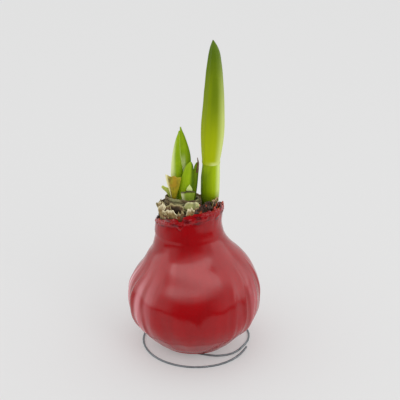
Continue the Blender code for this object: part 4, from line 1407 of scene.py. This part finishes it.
def leaves() -> list[Blade]:
    """Return the young leaves that stand in the neck's pocket, from the front to the back."""
    foot = LEAF_FOOT
    return [
        Blade(
            "cut_base", CUT_LEAF, ("leaf_base_cut",),
            path((0, -3.6, -8.1, foot), (0.6, -3.6, -8.2, 110), (1, -3.6, -8.4, 114.2)),
            curve((0, 7.8), (0.5, 8.2), (1, 9.4)), steady(-84, -86), steady(70, 70),
            1.3, pale=LEFT_MARGIN, dark=CUT_RIM, tear=0.9, crumple=0.3, seed=8,
        ),
        Blade(
            "new_tip", YOUNG_LEAF, ("leaf_tip_new",),
            path((0, -3.2, -5.9, foot), (0.6, -2.9, -6, 113), (1, -2.7, -6.2, 118.4)),
            curve((0, 4), (0.7, 4), (0.88, 2.4), (1, 0.4)), steady(FRONT, FRONT),
            steady(30, 30), 0.8, pale=MOSTLY_PALE, keel=0.3, seed=2,
        ),
        Blade(
            "middle_leaf", YOUNG_LEAF, ("leaf_middle",),
            path((0, -5.6, -3.9, foot), (0.5, -4.4, -4.3, 118), (0.85, -2.9, -3.6, 128.5),
                 (1, -1.9, -2.9, 132.8)),
            curve((0, 8.6), (0.35, 9.4), (0.6, 8.4), (0.82, 6.2), (0.94, 3.8), (1, 1.0)),
            steady(-94, -84), steady(60, 60), 1.1, dark=RIGHT_SHADE, keel=0.8,
            wave=0.2, seed=3,
        ),
        Blade(
            "right_leaf", YOUNG_LEAF, ("leaf_right",),
            path((0, -0.4, 0.6, foot), (0.4, 0.6, 0.6, 114), (0.8, 1.7, 0.6, 126), (1, 2.1, 0.6, 131)),
            curve((0, 2.8), (0.5, 3.8), (0.8, 3.8), (0.93, 2.8), (1, 1.2)), steady(-80, -70),
            steady(40, 60), 1.0, dark=WHOLE_SHADE, keel=0.4, columns=10, seed=4,
        ),
        Blade(
            "brown_spur", BROWN_TUNIC, (),
            path((0, 2.1, 0.1, 124), (0.5, 2.9, 0.1, 130), (1, 2.4, 0.1, 134.5)),
            curve((0, 1.4), (0.6, 1.2), (1, 0.5)), steady(-75, -75), steady(40, 40), 0.6,
            crumple=0.3, crumple_size=2.0, columns=6, rows=14, seed=12,
        ),
        Blade(
            "tall_leaf", YOUNG_LEAF, ("leaf_tall_front",),
            path((0, -10.4, -1, foot), (0.35, -10.9, -1, 121), (0.65, -11.3, -0.2, 137), (1, -9.4, 1, 152.4)),
            curve((0, 8.2), (0.3, 9.4), (0.5, 7.6), (0.68, 5), (0.88, 2.6), (1, 0.5)),
            steady(-100, -104), curve((0, 80), (0.6, 100), (1, 90)), 1.1, pale=LEFT_BAND,
            dark=LOW_RIGHT_SHADE, wave=0.15, rows=40, seed=5,
        ),
        Blade(
            "second_tall_leaf", YOUNG_LEAF, ("leaf_tall_back",),
            path((0, -7.2, 4.2, foot), (0.4, -6.4, 4.2, 124), (0.65, -6.1, 4, 136), (1, -8.4, 3.2, 154.2)),
            curve((0, 7), (0.4, 8.4), (0.65, 7.2), (0.88, 3.4), (1, 0.5)), steady(-82, -80),
            curve((0, -50), (0.6, -80), (1, -60)), 1.0, pale=INNER_FACE,
            dark=RIGHT_STRIP, rows=40, seed=6,
        ),
        Blade(
            "short_leaf", YOUNG_LEAF, ("leaf_short",),
            path((0, -15.1, -0.3, foot), (0.5, -15.4, -0.5, 109.4), (0.8, -18, -1.2, 113.2),
                 (1, -20.2, -1.8, 115.6)),
            curve((0, 3.6), (0.4, 5.6), (0.7, 7.0), (0.9, 5.0), (1, 1.0)), steady(-130, -104),
            steady(50, 60), 0.9, pale=SHORT_LEAF_PALE, warm=SHORT_LEAF_WARM,
            columns=10, rows=18, seed=7,
        ),
        Blade(
            "old_sheath", DRYING_SHEATH, ("leaf_sheath",),
            path((0, -13.4, -3.4, foot), (0.4, -13.5, -4.8, 111.4), (1, -13.9, -5.6, 123.6)),
            curve((0, 3.2), (0.35, 4.8), (0.65, 8.4), (1, 11)), steady(-116, -108),
            curve((0, 60), (0.6, 76), (1, 90)), 0.8, pale=LEFT_MARGIN, dark=SPECKLED_EDGE, warm=SHEATH_GLOW,
            tear=0.8, crumple=0.4, seed=4,
        ),
    ]


def fleshy_scale() -> Blade:
    """Return the pale fleshy scale that leans on the cut top at the front."""
    return Blade(
        "front_scale", FLESHY_SCALE, ("neck_scale",),
        path((0, -0.4, -15, SEAT), (0.6, -0.6, -14.9, 106), (0.9, -0.9, -14.3, 108.9), (1, -1, -13.6, 109.4)),
        curve((0, 9), (0.4, 12.4), (0.75, 10.6), (0.92, 7.4), (1, 4.6)), steady(-88, -88),
        steady(40, 40), 1.3, pale=TORN_EDGE, dark=SCALE_SHADE, crumple=0.7, crumple_size=4.0,
        thin_edge=0.6, rag=0.2, seed=9,
    )


@dataclass
class Flakes:
    """The torn tunics that stand round the neck, inside the rim."""

    rooted: float = 19.5

    def flake(
        self,
        name: str,
        finish: Finish,
        nodes: tuple[str, ...],
        azimuth: float,
        stations: Sequence[tuple[float, float, float, float, float, float]],
        **more: Any,
    ) -> Blade:
        """Return one flake.

        Args:
            name: The piece's name.
            finish: Its finish.
            nodes: The solids that it stands for.
            azimuth: Where it is rooted.
            stations: (share, radius, height, width, arc, extra azimuth), from its foot up.
            **more: Other fields of the blade.

        Returns:
            The blade.
        """
        spine = Curve(tuple((s, around(azimuth + turn, r, z, NECK_X)) for s, r, z, _, _, turn in stations))
        return Blade(
            name,
            finish,
            nodes,
            spine,
            curve(*((s[0], s[3]) for s in stations)),
            curve(*((s[0], azimuth + s[5]) for s in stations)),
            curve(*((s[0], s[4]) for s in stations)),
            0.45,
            thin_edge=0.6,
            rag=0.35,
            wave=0.5,
            crumple=0.6,
            crumple_size=3.0,
            columns=20,
            **more,
        )

    def standing(self) -> list[Blade]:
        """Return the flakes that stand for solids, going round from the left."""
        r = self.rooted
        return [
            self.flake(
                "cream_curl", PAPER_TUNIC, ("flake_left",), -147.0,
                [(0, r, 88.5, 6.6, 20, 0), (0.5, r, 96, 7, 20, 0), (0.8, 20, 101.5, 7, 0, 0),
                 (1, 18.4, 106, 5, -30, 3)],
                pale=TORN_EDGE, dark=SHADED_FOOT, tear=2.2, seed=21,
            ),
            self.flake(
                "cream_flap", PAPER_TUNIC, ("flake_front_left",), -121.0,
                [(0, r, 91, 6.4, 19, 0), (0.6, r, 99.6, 7.4, 19, 0), (0.85, 19.9, 103.2, 9, 10, 0),
                 (1, 20.4, 105, 7, -30, 0)],
                pale=TORN_EDGE, dark=SHADED_FOOT, tear=1.4, seed=22,
            ),
            self.flake(
                "tan_flap", PAPER_TUNIC, ("flake_front",), -84.0,
                [(0, r, 94, 5.4, 16, 0), (0.6, r, 102, 6.4, 16, 0), (1, 19, 106.8, 4.4, 20, 0)],
                pale=TORN_EDGE, warm=STAINED, tear=1.6, seed=23,
            ),
            self.flake(
                "red_shard", DARK_TUNIC, ("flake_red",), -62.0,
                [(0, r, 95, 5.4, 16, 0), (0.6, r, 103.4, 7, 16, 0), (1, 18.8, 108.8, 5, -30, 3)],
                warm=STAINED, tear=1.8, seed=24,
            ),
            self.flake(
                "dark_shard", DARK_TUNIC, ("flake_dark",), -42.0,
                [(0, r, 95, 5, 15, 0), (0.55, r, 103.4, 6, 15, 0), (1, 18.6, 109.4, 5, -50, -3)],
                dark=SHADED_FOOT, tear=2.2, seed=25,
            ),
            self.flake(
                "brown_cup", BROWN_TUNIC, ("flake_brown",), -114.0,
                [(0, 16.6, SEAT, 7.6, 27, 0), (0.4, 16.9, 103.6, 10, 10, 0), (0.8, 17.2, 106.8, 11, -50, 0),
                 (1, 17, 108.6, 9, -70, 1)],
                pale=TORN_EDGE, dark=CUP_SHADE, tear=1.0, seed=26,
            ),
            self.flake(
                "brown_back_flap", BROWN_TUNIC, ("flake_back_left",), 158.0,
                [(0, r, 87.5, 9.6, 28, 0), (0.6, r, 95, 9.6, 28, 0), (1, 20.6, 101, 7.5, -20, 0)],
                pale=TORN_EDGE, dark=SHADED_FOOT, tear=1.6, seed=27,
            ),
            self.flake(
                "cream_back_flap", PAPER_TUNIC, ("flake_back",), 92.0,
                [(0, r, 87.5, 13, 39, 0), (0.6, r, 96, 13, 39, 0), (1, 20.4, 103, 9, 10, 0)],
                pale=TORN_EDGE, dark=SHADED_FOOT, tear=2.0, seed=28,
            ),
        ]

    def shreds(self) -> list[Blade]:
        """Return the small shreds that fill the gaps between the flakes."""
        bits = (
            ("left_shred", PAPER_TUNIC, -164.0, 18.6, 105.8, 6.0, -30.0, TORN_EDGE, ()),
            ("left_strip", BROWN_TUNIC, -154.0, 17.8, 107.2, 4.5, -40.0, TORN_EDGE, ()),
            ("outer_strip", PAPER_TUNIC, -139.0, 20.6, 103.4, 4.5, -30.0, TORN_EDGE, STAINED),
            ("left_lap", BROWN_TUNIC, -133.0, 18.2, 107.0, 6.5, -60.0, TORN_EDGE, ()),
            ("low_curl", BROWN_TUNIC, -137.0, 20.3, 102.2, 6.0, -50.0, TORN_EDGE, STAINED),
            ("front_shred", BROWN_TUNIC, -104.0, 19.8, 104.2, 5.0, -30.0, TORN_EDGE, STAINED),
            ("orange_bit", DARK_TUNIC, -97.0, 20.2, 102.6, 3.6, 20.0, (), STAINED),
            ("dark_curl", DARK_TUNIC, -73.0, 18.4, 107.4, 4.0, -70.0, TORN_EDGE, ()),
            ("dark_tooth", DARK_TUNIC, -52.0, 18.4, 108.6, 5.0, -40.0, (), ()),
            ("black_tooth", DARK_TUNIC, -30.0, 18.8, 108.8, 5.5, -40.0, TORN_EDGE, ()),
            ("right_tooth", DARK_TUNIC, -14.0, 19.2, 108.2, 5.0, -30.0, TORN_EDGE, STAINED),
            ("right_shred", PAPER_TUNIC, 6.0, 19.4, 106.6, 6.0, -20.0, TORN_EDGE, STAINED),
            ("back_tooth", BROWN_TUNIC, 40.0, 19.6, 105.0, 8.0, 20.0, TORN_EDGE, ()),
            ("back_shred", PAPER_TUNIC, 128.0, 19.8, 102.6, 8.0, 20.0, TORN_EDGE, ()),
        )
        blades = []
        for index, (name, finish, azimuth, radius, top, width, arc, pale, warm) in enumerate(bits):
            stations = [
                (0, self.rooted - 0.2, top - 9.0, width * 0.8, 15, 0),
                (0.5, self.rooted, top - 4.0, width, 12, 0),
                (1, radius, top, width * 0.7, arc, 2),
            ]
            more = {"pale": pale, "warm": warm, "tear": 1.6, "seed": 40 + index}
            blades.append(self.flake(name, finish, (), azimuth, stations, **more))
        return blades


@dataclass
class Studio:
    """The pale floor, the soft lights, the dark card and mat in front, and the camera."""

    floor_size: float = 9.0
    floor_colour: str = "#bcbcbc"
    floor_glow: float = 0.245
    world_light: float = 1.0
    card_radius: float = 0.8
    card_height: float = 0.5
    card_edge: float = -0.3
    card_softness: Window = (0.32, 0.74)
    card_fade: float = 0.02
    card_glow: float = 1.4
    mat_edge: float = -0.02
    mat_height: float = 0.004
    mat_hole: tuple[float, float, float] = (0.34, 0.25, 1.0)
    wedge_radius: float = 0.12
    wedge_place: tuple[float, float, float] = (0.0, -0.215, 0.005)
    wedge_shape: tuple[float, float, float] = (1.9, 1.0, 1.0)
    camera_place: tuple[float, float, float] = (0.004, -0.5744, 0.3542)
    camera_tilt: float = 23.45
    lens: float = 86.48
    sensor: float = 36.0

    def make_matt(self, name: str, colour: str, roughness: float) -> bpy.types.Material:
        """Make a material without gloss that can glow white."""
        material = bpy.data.materials.new(name)
        material.use_nodes = True
        shader = material.node_tree.nodes["Principled BSDF"]
        shader.inputs["Base Color"].default_value = linear(colour)
        shader.inputs["Roughness"].default_value = roughness
        shader.inputs["Specular IOR Level"].default_value = 0.0
        shader.inputs["Emission Color"].default_value = linear("#ffffff")
        return material

    def build_floor(self) -> None:
        """Lay the floor."""
        bpy.ops.object.select_all(action="DESELECT")
        bpy.ops.mesh.primitive_plane_add(size=self.floor_size)
        floor = bpy.context.active_object
        floor.name = "floor"
        material = self.make_matt("translucent board, lit from below", self.floor_colour, 0.6)
        shader = material.node_tree.nodes["Principled BSDF"]
        shader.inputs["Emission Strength"].default_value = self.floor_glow
        floor.data.materials.append(material)

    def make_felt(self) -> bpy.types.Material:
        """Make black felt that glows towards its sides and top, a painted light that makes its reflection end
        softly.
        """
        felt = self.make_matt("black felt", "#050505", 1.0)
        place = add_node(felt, "ShaderNodeTexCoord", {})
        axes = add_node(felt, "ShaderNodeSeparateXYZ", {}, {0: place.outputs["Object"]})
        side = add_node(felt, "ShaderNodeMath", {"operation": "ABSOLUTE"}, {0: axes.outputs["X"]})
        sides = add_window(felt, side.outputs[0], self.card_softness, easing="SMOOTHSTEP")
        upper = (self.card_fade, self.card_height / 2.0)
        top = add_window(felt, axes.outputs["Z"], upper, (0.0, self.card_glow), "SMOOTHSTEP")
        # Painted light: the felt glows towards its sides and top though it is no lamp.
        glow = add_node(felt, "ShaderNodeMath", {"operation": "MAXIMUM"}, {0: sides, 1: top})
        shader = felt.node_tree.nodes["Principled BSDF"]
        felt.node_tree.links.new(glow.outputs[0], shader.inputs["Emission Strength"])
        return felt

    def cut_behind(self, edge: float) -> None:
        """Cut away what lies behind a line across, in edit mode."""
        bpy.ops.mesh.select_all(action="SELECT")
        bpy.ops.mesh.bisect(plane_co=(0.0, edge, 0.0), plane_no=(0.0, 1.0, 0.0), clear_outer=True)

    def build_card(self) -> bpy.types.Object:
        """Bend a dark card round the front."""
        bpy.ops.object.select_all(action="DESELECT")
        bpy.ops.mesh.primitive_cylinder_add(
            vertices=48,
            radius=self.card_radius,
            depth=self.card_height,
            end_fill_type="NOTHING",
            location=(0.0, 0.0, self.card_height / 2.0),
        )
        card = bpy.context.active_object
        card.name = "dark_card"
        bpy.ops.object.mode_set(mode="EDIT")
        self.cut_behind(self.card_edge)
        bpy.ops.object.mode_set(mode="OBJECT")
        return card

    def build_mat(self) -> bpy.types.Object:
        """Lay a dark mat in front, with a hole round the bulb and a wedge that points into the hole."""
        middle = (0.0, 0.0, self.mat_height)
        bpy.ops.mesh.primitive_circle_add(vertices=96, radius=self.card_radius, location=middle)
        mat = bpy.context.active_object
        mat.name = "dark_mat"
        bpy.ops.object.mode_set(mode="EDIT")
        bpy.ops.mesh.select_all(action="SELECT")
        bpy.ops.mesh.extrude_edges_move()
        bpy.ops.transform.resize(value=self.mat_hole, center_override=middle)
        self.cut_behind(self.mat_edge)
        bpy.ops.mesh.select_all(action="DESELECT")
        bpy.ops.mesh.primitive_circle_add(
            vertices=3, radius=self.wedge_radius, fill_type="NGON", location=self.wedge_place
        )
        bpy.ops.transform.resize(value=self.wedge_shape, center_override=self.wedge_place)
        bpy.ops.object.mode_set(mode="OBJECT")
        return mat

    def build_reflections(self) -> None:
        """Set the card and the mat, which show only as the dark parts of reflections."""
        things = (self.build_card(), self.build_mat())
        felt = self.make_felt()
        for thing in things:
            thing.data.materials.append(felt)
            thing.visible_camera = False
            thing.visible_diffuse = False
            thing.visible_shadow = False
            thing.visible_transmission = False

    def add_softbox(
        self,
        name: str,
        place: tuple[float, float, float],
        size: tuple[float, float],
        radiance: float,
        shines: bool,
    ) -> None:
        """Hang an oval softbox that looks at the bulb.

        Args:
            name: The light's name.
            place: Its centre, in metres.
            size: Its width and height, in metres.
            radiance: How bright its face is.
            shines: Whether it shows in reflections; otherwise it lights matt surfaces.
        """
        light = bpy.data.lights.new(name, "AREA")
        light.shape = "ELLIPSE"
        light.size, light.size_y = size
        light.energy = radiance * math.pi * size[0] * size[1] * math.pi / 4.0
        lamp = bpy.data.objects.new(name, light)
        bpy.context.scene.collection.objects.link(lamp)
        lamp.location = place
        aim = Vector((0.0, 0.0, 0.08)) - Vector(place)
        lamp.rotation_euler = aim.to_track_quat("-Z", "Y").to_euler()
        lamp.visible_camera = False
        lamp.visible_glossy = shines
        lamp.visible_diffuse = not shines

    def build_lights(self) -> None:
        """Light the bulb from above the camera and from both sides, inside a pale room."""
        self.add_softbox("softbox_top", (-0.05, -0.75, 1.0), (2.4, 0.72), 2.6, True)
        self.add_softbox("softbox_right", (1.1, -0.1, 0.5), (1.8, 1.5), 1.2, True)
        self.add_softbox("softbox_left", (-1.1, -0.1, 0.5), (1.8, 1.5), 1.25, True)
        self.add_softbox("key_right", (0.9, -1.1, 0.9), (0.9, 0.9), 1.6, False)
        world = bpy.data.worlds.new("pale_room")
        bpy.context.scene.world = world
        world.use_nodes = True
        background = world.node_tree.nodes["Background"]
        background.inputs["Color"].default_value = linear("#ffffff")
        background.inputs["Strength"].default_value = self.world_light

    def build_camera(self) -> None:
        """Set the camera where the photograph was taken from."""
        camera = bpy.data.cameras.new("camera")
        camera.lens = self.lens
        camera.sensor_width = self.sensor
        camera.clip_start = 0.01
        holder = bpy.data.objects.new("camera", camera)
        bpy.context.scene.collection.objects.link(holder)
        holder.location = self.camera_place
        holder.rotation_euler = (math.radians(90.0 - self.camera_tilt), 0.0, 0.0)
        bpy.context.scene.camera = holder
        bpy.context.scene.view_settings.view_transform = "Standard"

    def build(self) -> None:
        """Build the whole studio."""
        self.build_floor()
        self.build_reflections()
        self.build_lights()
        self.build_camera()


def main() -> None:
    """Build every piece in order."""
    logging.basicConfig(level=logging.INFO, format="%(message)s")
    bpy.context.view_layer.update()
    Studio().build()
    dresser = Dresser()
    WireStand().build(dresser)
    WaxCoat().build(dresser)
    Stem().build(dresser)
    NeckStump().build(dresser)
    TunicSkin().build(dresser)
    flakes = Flakes()
    for blade in [*leaves(), fleshy_scale(), *flakes.standing(), *flakes.shreds()]:
        blade.build(dresser)
    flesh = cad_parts["bulb"]
    flesh.data.materials.clear()
    flesh.data.materials.append(dresser.material(BULB_FLESH))
    LOG.info("bulb: keeps its solid, with dried flesh")
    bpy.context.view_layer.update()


if __name__ == "__main__":
    main()
